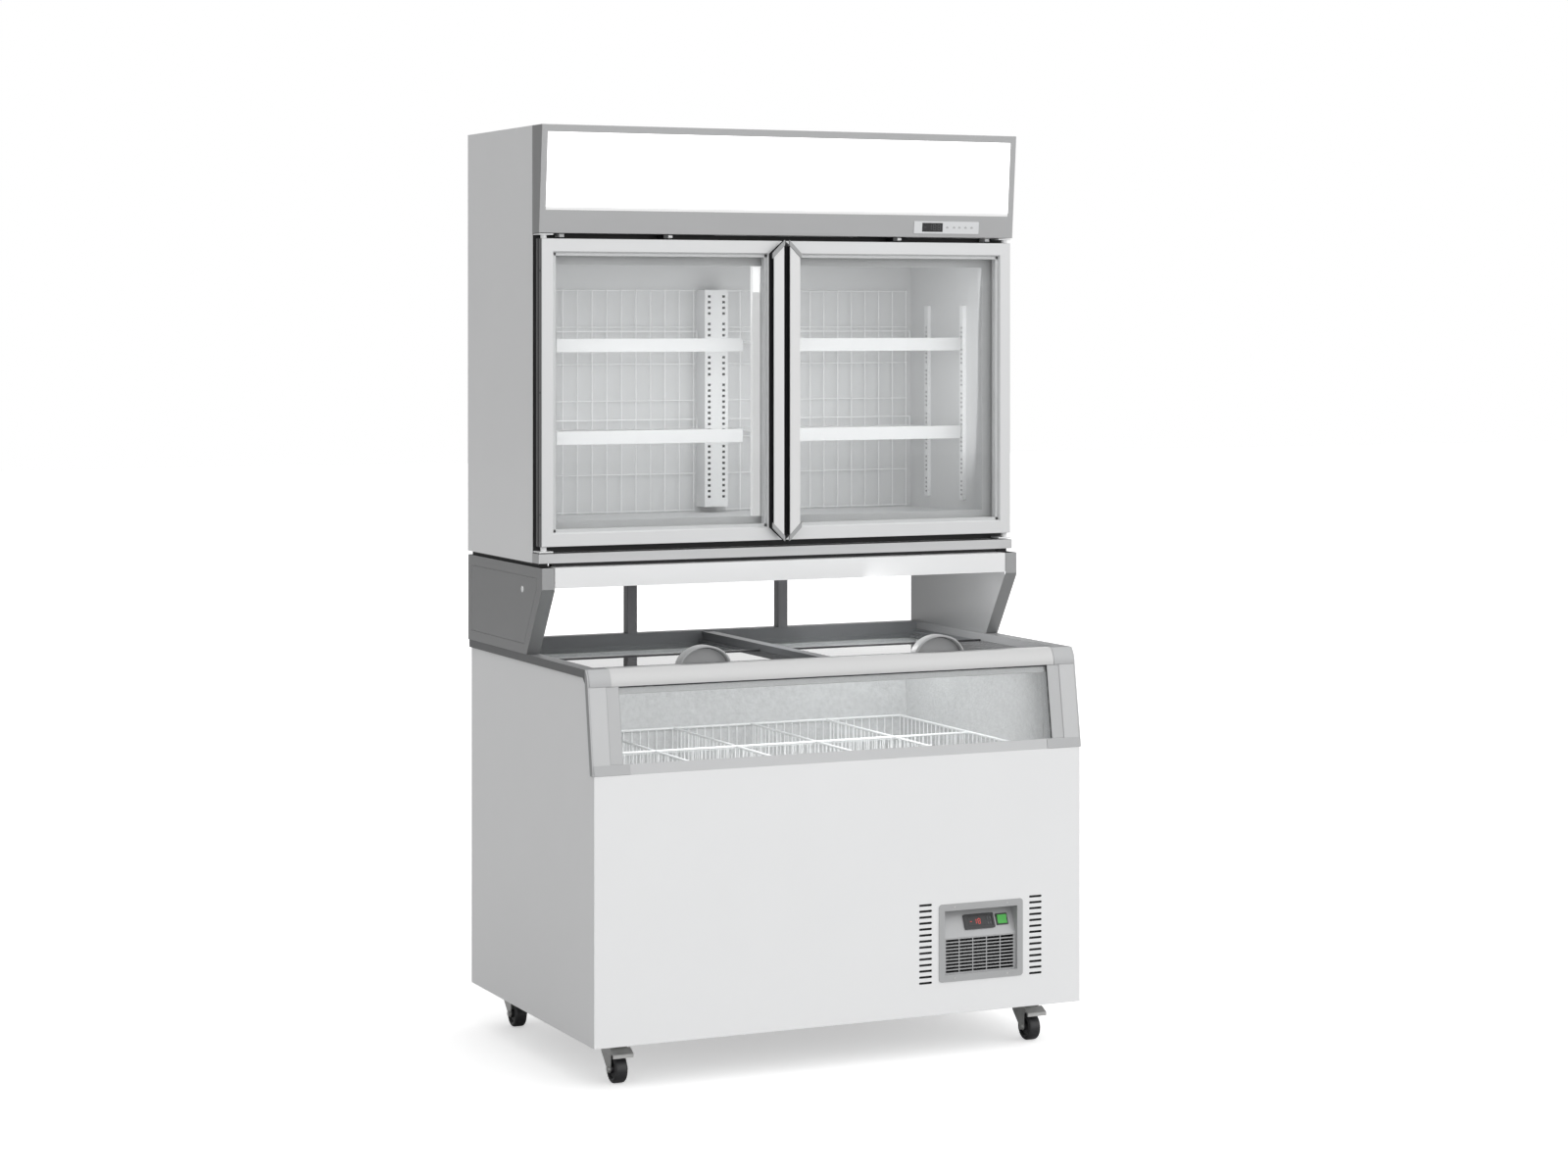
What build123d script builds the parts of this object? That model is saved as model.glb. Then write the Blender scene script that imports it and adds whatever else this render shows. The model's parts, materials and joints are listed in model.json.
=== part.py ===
"""Two-temperature display freezer: a chest freezer with a slanted front window, sliding glass
lids and casters, and above it, on two side brackets, a cabinet with two glass doors.

Millimetres. Origin on the floor under the middle of the footprint, +Z up, front towards -Y.
"""

import os
from math import cos, radians, sin, tan

from build123d import *

os.makedirs("parts", exist_ok=True)

# ---- Driving dimensions ----

half_width = 625.0  # chest body, half of 1250
front = -420.0  # front face of the chest
rear = 404.0  # rear face of the chest
chest_bottom = 101.0
panel_top = 711.5  # top of the plain front panel
side_top = 928.0  # top of the plain side panels
trim_top = 947.0  # top of the trims round the lids
sheet = 1.5  # outer sheet metal
liner_sheet = 1.2  # inner sheet metal
fit_gap = 0.3  # joint line between neighbouring pieces

slant = 8.85  # the window leans back from upright, degrees
frame_side = 40.0  # outer side member of the window frame
frame_inner = 30.0  # set-back inner side member
frame_bottom = 23.8  # bottom member, along the slope
frame_depth = 16.0
glass_thickness = 6.0

liner_half = 557.0  # chest interior above the basket ledge
ledge = 12.0
ledge_z = 700.0
liner_front = -362.0
liner_rear = 366.0
liner_floor = 180.0
step_x = 125.0  # the machine compartment is under the step to the right of this
step_floor = 440.0
foam_wall = 50.0
rim_bottom = 905.0  # underside of the plastic rim round the lids
window_cut = 45.0  # the walls end this far behind the window's face
window_cut_top = 910.0

lid_front = -337.0
lid_split = 30.0  # rear edge of the front lids
lid_rear = 379.0
upper_ledge = 923.0
lower_ledge = 913.5
lid_glass = 4.5

bracket_outer = 630.0
bracket_thickness = 33.0
bracket_front = -100.0
bracket_rear = 415.0
bracket_top = 1156.5
bracket_bend = 1106.0  # the front edge slants back below this

upper_half = 628.5
upper_bottom = 1165.0
upper_top = 2192.0
upper_front = -33.0
upper_rear = 422.0
upper_liner_half = 578.5
upper_floor = 1249.0
upper_ceiling = 1877.0
upper_back_wall = 379.0
upper_foam_top = 1926.0  # the upper machine space is above this

door_front = -80.0
door_thickness = 39.0
door_bottom = 1204.5
door_top = 1926.0
door_outer = 622.5
door_gap = 8.0  # between the two doors
door_rail = 31.0
door_outer_stile = 29.5
door_inner_stile = 35.0
hinge_x = 612.5
hinge_y = -65.0
hinge_pin_radius = 5.0
running_clearance = 0.05

header_bottom = 1939.0
header_foot = -78.0  # front of the header at its bottom
header_brow = -99.4  # front of the header at its top

sill_bottom = 1165.5
sill_top = 1188.0

panel_x = 356.6  # middle of the machine grille panel
panel_z = 268.4
panel_width = 224.0
panel_height = 183.0
recess_width = 194.0
recess_height = 150.4

wheel_radius = 32.5
wheel_width = 30.0
swivel_x = 535.0
swivel_front_y = -305.0
swivel_rear_y = 352.0
trail = 28.0  # from the swivel axis forward to the wheel axle


# ---- Helpers ----


def save(piece, name):
    """Label a finished piece and write its STEP file."""
    piece.part.label = name
    export_step(piece.part, f"parts/{name}.step")


def block(x, y, z, mode=Mode.ADD):
    """A box between the given limits along X, Y and Z."""
    middle = ((x[0] + x[1]) / 2, (y[0] + y[1]) / 2, (z[0] + z[1]) / 2)
    with Locations(middle):
        Box(x[1] - x[0], y[1] - y[0], z[1] - z[0], mode=mode)


def rod(x, y, z, radius, length, axis, mode=Mode.ADD):
    """A round bar centred on a point, along the named axis."""
    turns = {"x": (0, 90, 0), "y": (90, 0, 0), "z": (0, 0, 0)}
    with Locations(Location((x, y, z), turns[axis])):
        Cylinder(radius, length, mode=mode)


def side_prism(points, x, mode=Mode.ADD):
    """A side-view outline of (Y, Z) points, extruded between two X limits."""
    with BuildSketch(Plane.YZ.offset(x[0])) as outline:
        Polygon(*points, align=None)
    extrude(outline.sketch, amount=x[1] - x[0], mode=mode)


# ---- The slanted window plane ----

lean = radians(slant)
window_plane = Plane(
    origin=(0, front, panel_top), x_dir=(1, 0, 0), z_dir=(0, -cos(lean), sin(lean))
)
rail_bottom = 908.0
rail_back = -350.0
frame_height = (rail_bottom - panel_top) / cos(lean) - fit_gap


def slope_y(z, depth=0.0):
    """Y of the window plane, moved back by a depth, at a height."""
    return front + (z - panel_top) * tan(lean) + depth / cos(lean)


def nose_bar(x, grow=0.0):
    """A length of the rounded top rail between two X limits."""
    foot = slope_y(rail_bottom) - grow
    with BuildSketch(Plane.YZ.offset(x[0])) as profile:
        with BuildLine():
            ThreePointArc(
                (foot, rail_bottom), (-385.5 - grow, 929.0), (-374.0 - grow, trim_top)
            )
            Polyline(
                (-374.0 - grow, trim_top),
                (rail_back - fit_gap, trim_top),
                (rail_back - fit_gap, rail_bottom),
                (foot, rail_bottom),
            )
        make_face()
    extrude(profile.sketch, amount=x[1] - x[0])


# ---- Chest body ----

panel_left = panel_x - panel_width / 2
vent_pitch = 14.05
vent_count = 14
vent_middle = 178.7 + vent_pitch * (vent_count - 1) / 2
gland_x = 560.0
gland_z = 150.0
gland_radius = 10.0

with BuildPart() as chest_outer_shell:
    behind_frame = frame_depth + fit_gap
    with BuildSketch(Plane.YZ.offset(-half_width)):
        with BuildLine():
            Polyline(
                (front, chest_bottom),
                (front, panel_top),
                (slope_y(panel_top, behind_frame), panel_top),
                (slope_y(side_top, behind_frame), side_top),
                (rear, side_top),
                (rear, chest_bottom),
                close=True,
            )
        make_face()
        shoulder = vertices().group_by(Axis.Y)[-1].sort_by(Axis.X)[0]
        fillet(shoulder, 8)
    extrude(amount=2 * half_width)
    block(
        (-half_width + sheet, half_width - sheet),
        (front + sheet, rear - sheet),
        (chest_bottom + sheet, 1000),
        mode=Mode.SUBTRACT,
    )
    with BuildSketch(Plane.XZ.offset(-front)):
        with Locations((panel_x, vent_middle)):
            with GridLocations(294.2, vent_pitch, 2, vent_count):
                SlotOverall(34, 5.3)
        with Locations((panel_x, panel_z)):
            Rectangle(recess_width + 5, recess_height + 5)
    extrude(amount=-5, mode=Mode.SUBTRACT)
    with BuildSketch(Plane.XZ.offset(-rear - 2)):
        with Locations((340, vent_middle)):
            with GridLocations(80, vent_pitch, 3, vent_count):
                SlotOverall(60, 5.3)
        with Locations((gland_x, gland_z)):
            Circle(gland_radius)
    extrude(amount=6, mode=Mode.SUBTRACT)
save(chest_outer_shell, "chest_outer_shell")

machine_left = step_x + foam_wall + 5
machine_top = step_floor - foam_wall
inside = half_width - sheet
step_wall = step_x + liner_sheet

with BuildPart() as insulation_foam:
    block(
        (-inside, inside),
        (front + sheet, rear - sheet),
        (chest_bottom + sheet, rim_bottom - fit_gap),
    )
    outer = liner_half + liner_sheet
    back_y = (liner_front - liner_sheet, liner_rear + liner_sheet)
    block((-outer, outer), back_y, (ledge_z - liner_sheet, 1000), mode=Mode.SUBTRACT)
    narrow = outer - ledge
    narrow_y = (back_y[0] + ledge, back_y[1] - ledge)
    block(
        (-narrow, step_wall),
        narrow_y,
        (liner_floor - liner_sheet, ledge_z),
        mode=Mode.SUBTRACT,
    )
    block(
        (step_wall - 1, narrow),
        narrow_y,
        (step_floor - liner_sheet, ledge_z),
        mode=Mode.SUBTRACT,
    )
    block(
        (machine_left, inside),
        (front, rear),
        (chest_bottom, machine_top),
        mode=Mode.SUBTRACT,
    )
    # Window opening, and the side walls cut back behind the window frame.
    block((-outer, outer), (front, -350), (panel_top, 1000), mode=Mode.SUBTRACT)
    side_prism(
        [
            (front - 5, panel_top),
            (slope_y(panel_top, window_cut), panel_top),
            (slope_y(window_cut_top, window_cut), window_cut_top),
            (front - 5, window_cut_top),
        ],
        (-half_width, half_width),
        mode=Mode.SUBTRACT,
    )
    block(
        (-upper_half + sheet, upper_half - sheet),
        (upper_front + sheet, upper_rear - sheet),
        (upper_bottom + sheet, upper_foam_top),
    )
    upper_skin = upper_liner_half + liner_sheet
    block(
        (-upper_skin, upper_skin),
        (upper_front, upper_back_wall + liner_sheet),
        (upper_floor - liner_sheet, upper_ceiling + liner_sheet),
        mode=Mode.SUBTRACT,
    )
save(insulation_foam, "insulation_foam")

with BuildPart() as chest_liner:
    block((-outer, outer), back_y, (ledge_z - liner_sheet, rim_bottom - fit_gap))
    block((-narrow, step_wall), narrow_y, (liner_floor - liner_sheet, ledge_z))
    block((step_wall - 1, narrow), narrow_y, (step_floor - liner_sheet, ledge_z))
    room = liner_half - ledge
    room_y = (liner_front + ledge, liner_rear - ledge)
    block(
        (-liner_half, liner_half),
        (liner_front, liner_rear),
        (ledge_z, 1000),
        mode=Mode.SUBTRACT,
    )
    block((-room, step_x), room_y, (liner_floor, ledge_z + 1), mode=Mode.SUBTRACT)
    block((step_x - 1, room), room_y, (step_floor, ledge_z + 1), mode=Mode.SUBTRACT)
    window_z = (panel_top, window_cut_top)
    block((-liner_half, liner_half), (-370, -361), window_z, mode=Mode.SUBTRACT)
    side_prism(
        [
            (front, panel_top),
            (slope_y(panel_top, window_cut), panel_top),
            (slope_y(window_cut_top, window_cut), window_cut_top),
            (front, window_cut_top),
        ],
        (-half_width, half_width),
        mode=Mode.SUBTRACT,
    )
    # White sill that covers the top of the front wall behind the window.
    block(
        (-liner_half + 4, liner_half - 4),
        (slope_y(panel_top, frame_depth) + 1, liner_front),
        (panel_top, panel_top + liner_sheet),
    )
save(chest_liner, "chest_liner")

# ---- Rim, trims and window of the chest ----

opening_half = 595.0
bar_half = 15.0
rim_rear = 410.0

with BuildPart() as lid_rim:
    for side in (-1, 1):
        for reach, top in ((20, lower_ledge), (10, upper_ledge), (0, side_top)):
            block(
                sorted((side * inside, side * (opening_half - reach))),
                (rail_back, rear - sheet),
                (rim_bottom, top),
            )
    for reach, top in ((20, lower_ledge), (10, upper_ledge), (0, 944)):
        block((-bar_half - reach, bar_half + reach), (-345, 390), (rim_bottom, top))
    block((-inside, inside), (rail_back, lid_front - 1), (rim_bottom, side_top))
    block(
        (-opening_half, opening_half),
        (rail_back, lid_front - 1),
        (rim_bottom, trim_top),
    )
    block((-inside, inside), (lid_rear + 1, rear - sheet), (rim_bottom, side_top))
    block((-opening_half, opening_half), (lid_rear + 1, rim_rear), (side_top, trim_top))
save(lid_rim, "lid_rim")

trim_proud = 4.0
trim_outer = half_width + trim_proud
cap_inner = 572.0
corner_inner = 537.0

with BuildPart() as edge_trims:
    for side in (-1, 1):
        start = half_width if side > 0 else -trim_outer
        with BuildSketch(Plane.YZ.offset(start)):
            with BuildLine():
                ThreePointArc(
                    (slope_y(rail_bottom), rail_bottom),
                    (-385.5, 929.0),
                    (-374.0, trim_top),
                )
                Polyline(
                    (-374.0, trim_top),
                    (rim_rear, trim_top),
                    (rim_rear, side_top),
                    (slope_y(920.0, frame_depth) + 12, side_top),
                    (slope_y(916.0, frame_depth), 916.0),
                    (slope_y(panel_top, frame_depth), panel_top),
                    (front, panel_top),
                    (slope_y(rail_bottom), rail_bottom),
                )
            make_face()
        extrude(amount=trim_proud)
        block(
            sorted((side * (opening_half + fit_gap), side * half_width)),
            (rail_back, rim_rear),
            (side_top, trim_top),
        )
with BuildPart() as corner_caps:
    nose_bar((cap_inner, half_width - fit_gap), grow=0.8)
    nose_bar((-half_width + fit_gap, -cap_inner), grow=0.8)
    for side in (-1, 1):
        limits = sorted((side * (inside - fit_gap), side * (half_width + 1)))
        side_prism(
            [
                (slope_y(900, frame_depth), 900),
                (slope_y(side_top, frame_depth), side_top + fit_gap),
                (rail_back, side_top + fit_gap),
                (rail_back, 900),
            ],
            limits,
            mode=Mode.SUBTRACT,
        )
    with BuildSketch(window_plane.offset(0.05)):
        with GridLocations(half_width + corner_inner, 0, 2, 1):
            with Locations((0, frame_bottom / 2)):
                Rectangle(half_width - corner_inner, frame_bottom - 0.6)
    extrude(amount=1.0)
edge_trims.part += corner_caps.part
save(edge_trims, "edge_trims")

with BuildPart() as front_rail:
    nose_bar((-cap_inner + fit_gap, cap_inner - fit_gap))
    side_prism(
        [(-381, 900), (-381, 930), (-373, 943.5), (-353, 943.5), (-353, 900)],
        (-cap_inner - 1, cap_inner + 1),
        mode=Mode.SUBTRACT,
    )
save(front_rail, "front_rail")

glass_half = half_width - frame_side - 1
inner_half = half_width - frame_side - frame_inner
glass_front = 6.0  # set back from the frame's face
bead = 32.0  # strip over each end of the glass
bead_step = 1.8

with BuildPart() as window_frame:
    with BuildSketch(window_plane):
        with Locations((0, frame_bottom / 2)):
            Rectangle(2 * half_width, frame_bottom)
        for side in (-1, 1):
            with Locations((side * (half_width - frame_side / 2), frame_height / 2)):
                Rectangle(frame_side, frame_height)
    extrude(amount=-frame_depth)
    with BuildSketch(window_plane.offset(-bead_step)):
        for side in (-1, 1):
            bead_x = side * (half_width - frame_side - bead / 2)
            with Locations((bead_x, (frame_height + frame_bottom) / 2)):
                Rectangle(bead + 0.02, frame_height - frame_bottom)
    extrude(amount=bead_step + fit_gap - glass_front)
    step_depth = glass_front + glass_thickness
    with BuildSketch(window_plane.offset(-step_depth)):
        for side in (-1, 1):
            with Locations(
                (side * (inner_half + frame_inner / 2), (frame_height + frame_bottom) / 2)
            ):
                Rectangle(frame_inner + 0.02, frame_height - frame_bottom)
        with Locations((0, frame_height - 8)):
            Rectangle(2 * inner_half, 16)
    extrude(amount=-30)
    block((-700, 700), (-500, -300), (600, panel_top), mode=Mode.SUBTRACT)
save(window_frame, "window_frame")

with BuildPart() as window_glass:
    glass_height = frame_height - frame_bottom - 0.6
    with BuildSketch(window_plane.offset(-glass_front)):
        with Locations((0, frame_bottom + 0.3 + glass_height / 2)):
            Rectangle(2 * glass_half, glass_height)
    extrude(amount=-glass_thickness + 0.1)
save(window_glass, "window_glass")

# ---- Machine grille panel, thermostat and switch ----

recess_left = panel_x - recess_width / 2
recess_right = panel_x + recess_width / 2
recess_bottom = panel_z - recess_height / 2
recess_top = panel_z + recess_height / 2
grille_back = front + 6.0
control_foot = (grille_back, 278.0)
control_brow = (front + 34.0, 340.0)
wall = 2.0

control_run = (control_brow[0] - control_foot[0], control_brow[1] - control_foot[1])
control_length = (control_run[0] ** 2 + control_run[1] ** 2) ** 0.5
control_normal = (0, -control_run[1] / control_length, control_run[0] / control_length)
control_plane = Plane(
    origin=(
        panel_x,
        (control_foot[0] + control_brow[0]) / 2,
        (control_foot[1] + control_brow[1]) / 2,
    ),
    x_dir=(1, 0, 0),
    z_dir=control_normal,
)
thermostat_x = 4.6
switch_x = 66.0
switch_y = 1.0
thermostat_size = (80.0, 36.0)
thermostat_body = (70.0, 28.0, 38.0)
switch_size = (31.0, 28.0)
switch_body = (27.4, 25.0, 22.0)
louvre_rows = 10
louvre_columns = 5
louvre_pitch_z = 8.05
louvre_pitch_x = 36.5
louvre_middle_z = 235.3
screw_spread = (140.6, 167.4)
screw_radius = 2.1
flange = 2.0

with BuildPart() as grille_panel:
    with BuildSketch(Plane.XZ.offset(-front)):
        with Locations((panel_x, panel_z)):
            RectangleRounded(panel_width, panel_height, 8)
    extrude(amount=flange)
    block(
        (recess_left - wall, recess_right + wall),
        (front, control_brow[0] + 4),
        (recess_bottom - wall, recess_top + wall),
    )
    side_prism(
        [
            (front - 5, recess_bottom),
            (grille_back, recess_bottom),
            control_foot,
            control_brow,
            (control_brow[0], recess_top),
            (front - 5, recess_top),
        ],
        (recess_left, recess_right),
        mode=Mode.SUBTRACT,
    )
    side_prism(
        [
            (grille_back + wall, recess_bottom - wall),
            (grille_back + wall, control_foot[1]),
            (control_brow[0] + wall, control_brow[1] + 1),
            (control_brow[0] + 10, control_brow[1] + 1),
            (control_brow[0] + 10, recess_bottom - wall),
        ],
        (recess_left - wall, recess_right + wall),
        mode=Mode.SUBTRACT,
    )
    with BuildSketch(Plane.XZ.offset(-grille_back)):
        with Locations((panel_x, louvre_middle_z)):
            with GridLocations(
                louvre_pitch_x, louvre_pitch_z, louvre_columns, louvre_rows
            ):
                Rectangle(34.5, 5.4)
    extrude(amount=-4, mode=Mode.SUBTRACT)
    with BuildSketch(control_plane):
        with Locations((thermostat_x, 0)):
            Rectangle(thermostat_body[0] + 0.6, thermostat_body[1] + 0.6)
        with Locations((switch_x, switch_y)):
            Rectangle(switch_body[0] + 0.6, switch_body[1] + 0.6)
    extrude(amount=10, both=True, mode=Mode.SUBTRACT)
    with BuildSketch(Plane.XZ.offset(-front + flange)):
        with Locations((panel_x, panel_z)):
            with GridLocations(*screw_spread, 2, 2):
                Circle(screw_radius + 0.1)
    extrude(amount=-flange, mode=Mode.SUBTRACT)
save(grille_panel, "grille_panel")

with BuildPart() as panel_screws:
    with BuildSketch(Plane.XZ.offset(-front)):
        with Locations((panel_x, panel_z)):
            with GridLocations(*screw_spread, 2, 2):
                Circle(screw_radius)
    extrude(amount=flange)
save(panel_screws, "panel_screws")

with BuildPart() as thermostat:
    with BuildSketch(control_plane.offset(0.05)):
        with Locations((thermostat_x, 0)):
            RectangleRounded(*thermostat_size, 3)
    extrude(amount=4)
    with BuildSketch(control_plane.offset(2.5)):
        with Locations((thermostat_x, 0)):
            RectangleRounded(70, 26, 2)
    extrude(amount=3, mode=Mode.SUBTRACT)
    with BuildSketch(control_plane.offset(0.05)):
        with Locations((thermostat_x, 0)):
            Rectangle(*thermostat_body[:2])
    extrude(amount=-thermostat_body[2])
save(thermostat, "thermostat")

switch_plane = Plane(
    origin=control_plane.from_local_coords((switch_x, switch_y, 0)),
    x_dir=(1, 0, 0),
    z_dir=control_normal,
)
key_width = 24.4
key_height = 20.8
well_height = 23.0
trunnion_radius = 1.5  # the key turns on a short pin at each side

with BuildPart() as switch_housing:
    with BuildSketch(switch_plane.offset(0.05)):
        RectangleRounded(*switch_size, 1.5)
    extrude(amount=2.2)
    with BuildSketch(switch_plane.offset(0.05)):
        Rectangle(*switch_body[:2])
    extrude(amount=-switch_body[2])
    with BuildSketch(switch_plane.offset(5)):
        Rectangle(key_width + 0.8, well_height)
    extrude(amount=-17, mode=Mode.SUBTRACT)
    socket = trunnion_radius + running_clearance
    rod(*switch_plane.origin, socket, switch_body[0], "x", mode=Mode.SUBTRACT)
save(switch_housing, "switch_housing")

key_tilt = 7.0  # the switch rests tipped to one side
with BuildPart() as rocker_key:
    upward = cos(radians(key_tilt)) * switch_plane.y_dir
    outward = sin(radians(key_tilt)) * switch_plane.z_dir
    key_side = Plane(
        origin=switch_plane.origin, x_dir=upward + outward, z_dir=(1, 0, 0)
    )
    with BuildSketch(key_side.offset(-key_width / 2)):
        with BuildLine():
            Polyline(
                (-key_height / 2, -4.0),
                (key_height / 2, -4.0),
                (key_height / 2, 4.6),
                (0, 2.8),
                (-key_height / 2, 4.6),
                close=True,
            )
        make_face()
    extrude(amount=key_width)
    rod(*switch_plane.origin, trunnion_radius, switch_body[0] - 0.6, "x")
save(rocker_key, "rocker_key")

# ---- Refrigeration machinery ----


def compressor_at(x, y, floor):
    """A hermetic compressor: domed pot on a mounting plate with rubber feet."""
    block((x - 95, x + 95), (y - 62, y + 62), (floor + 10, floor + 13))
    for foot_x in (x - 80, x + 80):
        for foot_y in (y - 48, y + 48):
            rod(foot_x, foot_y, floor + 5.5, 11, 11, "z")
    upright = Plane(origin=(x, y, floor + 13), x_dir=(1, 0, 0), z_dir=(0, -1, 0))
    with BuildSketch(upright) as pot:
        Polygon(
            (0, 0), (58, 0), (72, 12), (74, 95), (66, 122), (42, 140), (0, 148),
            align=None,
        )
    revolve(pot.sketch, axis=Axis((x, y, 0), (0, 0, 1)))
    rod(x + 85, y, floor + 70, 5, 60, "x")


chest_compressor = (450.0, 150.0)
upper_compressor = (380.0, 150.0)
upper_machine_floor = upper_foam_top + 2

with BuildPart() as compressors:
    compressor_at(*chest_compressor, chest_bottom + sheet)
    compressor_at(*upper_compressor, upper_machine_floor)
save(compressors, "compressors")

fan_x = panel_x
fan_z = 240.0
fan_radius = 95.0
fan_hub_y = -280.0
shaft_radius = 4.0


def condenser_at(x, z, y, width, height):
    """A fin block between two end plates, and behind it a fan shroud with a round mouth."""
    block((x - width / 2, x + width / 2), (y, y + 38), (z - height / 2, z + height / 2))
    for fin in range(int(width / 12) - 1):
        fin_x = x - width / 2 + 6 + 12 * (fin + 0.5)
        block(
            (fin_x - 1.5, fin_x + 1.5),
            (y - 1, y + 6),
            (z - height / 2 + 4, z + height / 2 - 4),
            mode=Mode.SUBTRACT,
        )
    block(
        (x - width / 2, x + width / 2),
        (y + 38, y + 41),
        (z - height / 2, z + height / 2),
    )
    rod(x, y + 40, z, fan_radius + 6, 3, "y", mode=Mode.SUBTRACT)


foot_z = chest_bottom + sheet
with BuildPart() as condensers:
    condenser_at(fan_x, fan_z, -346, 235, 250)
    condenser_at(-330, 2055, 40, 400, 230)
    # Motor of the chest's fan, on its own foot.
    rod(fan_x, fan_hub_y + 38, fan_z, 34, 44, "y")
    rod(fan_x, fan_hub_y + 6, fan_z, shaft_radius, 36, "y")
    foot_y = fan_hub_y + 38
    block((fan_x - 12, fan_x + 12), (foot_y - 4, foot_y + 4), (foot_z, fan_z))
    block((fan_x - 30, fan_x + 30), (foot_y - 22, foot_y + 22), (foot_z, foot_z + 3))
save(condensers, "condensers")

blade_count = 5
blade_pitch = radians(28)
fan_centre = Vector(fan_x, fan_hub_y, fan_z)
with BuildPart() as fan_blades:
    rod(fan_x, fan_hub_y, fan_z, 22, 22, "y")
    for blade in range(blade_count):
        turn = radians(360 / blade_count * blade)
        spoke = Vector(cos(turn), 0, sin(turn))
        around = Vector(-sin(turn), 0, cos(turn))
        chord = cos(blade_pitch) * around + sin(blade_pitch) * Vector(0, 1, 0)
        root = Plane(origin=fan_centre + 20 * spoke, x_dir=chord, z_dir=spoke)
        with BuildSketch(root):
            RectangleRounded(44, 2.2, 1)
        extrude(amount=fan_radius - 20)
    rod(fan_x, fan_hub_y, fan_z, shaft_radius + running_clearance, 60, "y", Mode.SUBTRACT)
save(fan_blades, "fan_blades")

with BuildPart() as power_gland:
    rod(gland_x, rear + 3, gland_z, 14, 6, "y")
    rod(gland_x, rear - 6, gland_z, gland_radius - 0.1, 14, "y")
    rod(gland_x, rear, gland_z, 5, 60, "y", mode=Mode.SUBTRACT)
save(power_gland, "power_gland")

# ---- Casters ----

fork_half = 20.0
fork_sheet = 2.5
fork_top = 95.0
plate_bottom = 98.0
axle_radius = 4.0
king_pin = 5.0
hub_radius = 10.0
pedal_pivot = (-14.0, 83.0)  # from the swivel axis along Y, and height
pedal_pin = 2.5
corners = [
    ("front_left", -swivel_x, swivel_front_y),
    ("front_right", swivel_x, swivel_front_y),
    ("rear_left", -swivel_x, swivel_rear_y),
    ("rear_right", swivel_x, swivel_rear_y),
]

with BuildPart() as caster_plates:
    for _, x, y in corners:
        block((x - 32, x + 32), (y - 27, y + 27), (plate_bottom, chest_bottom))
        race = plate_bottom - fork_top - fit_gap
        rod(x, y, plate_bottom - race / 2, 20, race, "z")
        rod(x, y, 93, king_pin, 10, "z")
        rod(x, y, 89.6, 8.5, 3.4, "z")
save(caster_plates, "caster_plates")

for corner, x, y in corners:
    axle_y = y - trail
    with BuildPart() as caster_fork:
        block((x - fork_half, x + fork_half), (y - 24, y + 20), (fork_top - 3, fork_top))
        for start in (x - fork_half, x + fork_half - fork_sheet):
            side_prism(
                [
                    (y + 20, fork_top),
                    (y + 20, 66),
                    (axle_y + 8, 27),
                    (axle_y - 3, 24),
                    (axle_y - 8, 29),
                    (axle_y - 8, 60),
                    (y - 42, 72),
                    (y - 42, 80),
                    (y - 24, fork_top),
                ],
                (start, start + fork_sheet),
            )
        rod(x, y, fork_top, king_pin + running_clearance, 20, "z", mode=Mode.SUBTRACT)
        rod(x, axle_y, wheel_radius, axle_radius, 2 * fork_half + 2, "x")
        for side in (-1, 1):
            rod(x + side * (fork_half + 2), axle_y, wheel_radius, 7, 4, "x")
        if corner.startswith("front"):
            pivot_y = y + pedal_pivot[0]
            hole = pedal_pin + running_clearance
            rod(x, pivot_y, pedal_pivot[1], hole, 60, "x", mode=Mode.SUBTRACT)
    save(caster_fork, f"caster_fork_{corner}")

    with BuildPart() as caster_wheel:
        rod(x, axle_y, wheel_radius, wheel_radius, wheel_width, "x")
        fillet(edges().filter_by(GeomType.CIRCLE), 4.5)
        for side in (-1, 1):
            face_x = x + side * wheel_width / 2
            rod(face_x, axle_y, wheel_radius, 23, 5, "x", mode=Mode.SUBTRACT)
        hub = 2 * (fork_half - fork_sheet - fit_gap)
        rod(x, axle_y, wheel_radius, hub_radius, hub, "x")
        bore = axle_radius + running_clearance
        rod(x, axle_y, wheel_radius, bore, 60, "x", mode=Mode.SUBTRACT)
    save(caster_wheel, f"caster_wheel_{corner}")

for corner, x, y in corners[:2]:
    with BuildPart() as brake_pedal:
        pivot_y = y + pedal_pivot[0]
        side_prism(
            [
                (y - 10, 80),
                (y - 10, 86),
                (y - 46, 79),
                (y - 46, 74),
            ],
            (x - 16.8, x + 16.8),
        )
        side_prism(
            [
                (y - 44.5, 82.5),
                (y - 52, 80),
                (y - 60, 75.5),
                (y - 67, 72.5),
                (y - 68, 71),
                (y - 68, 63.5),
                (y - 63, 63.5),
                (y - 62, 70),
                (y - 44.5, 77),
            ],
            (x - 25, x + 25),
        )
        # Shoe that comes down on the tyre as the pedal is pressed.
        side_prism(
            [(y - 24, 80), (y - 24, 68.6), (y - 34, 69.3), (y - 34, 78)],
            (x - 12, x + 12),
        )
        rod(x, pivot_y, pedal_pivot[1], pedal_pin, 2 * fork_half, "x")
    save(brake_pedal, f"brake_pedal_{corner}")

# ---- Brackets, posts and light beam between the two cabinets ----

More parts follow.
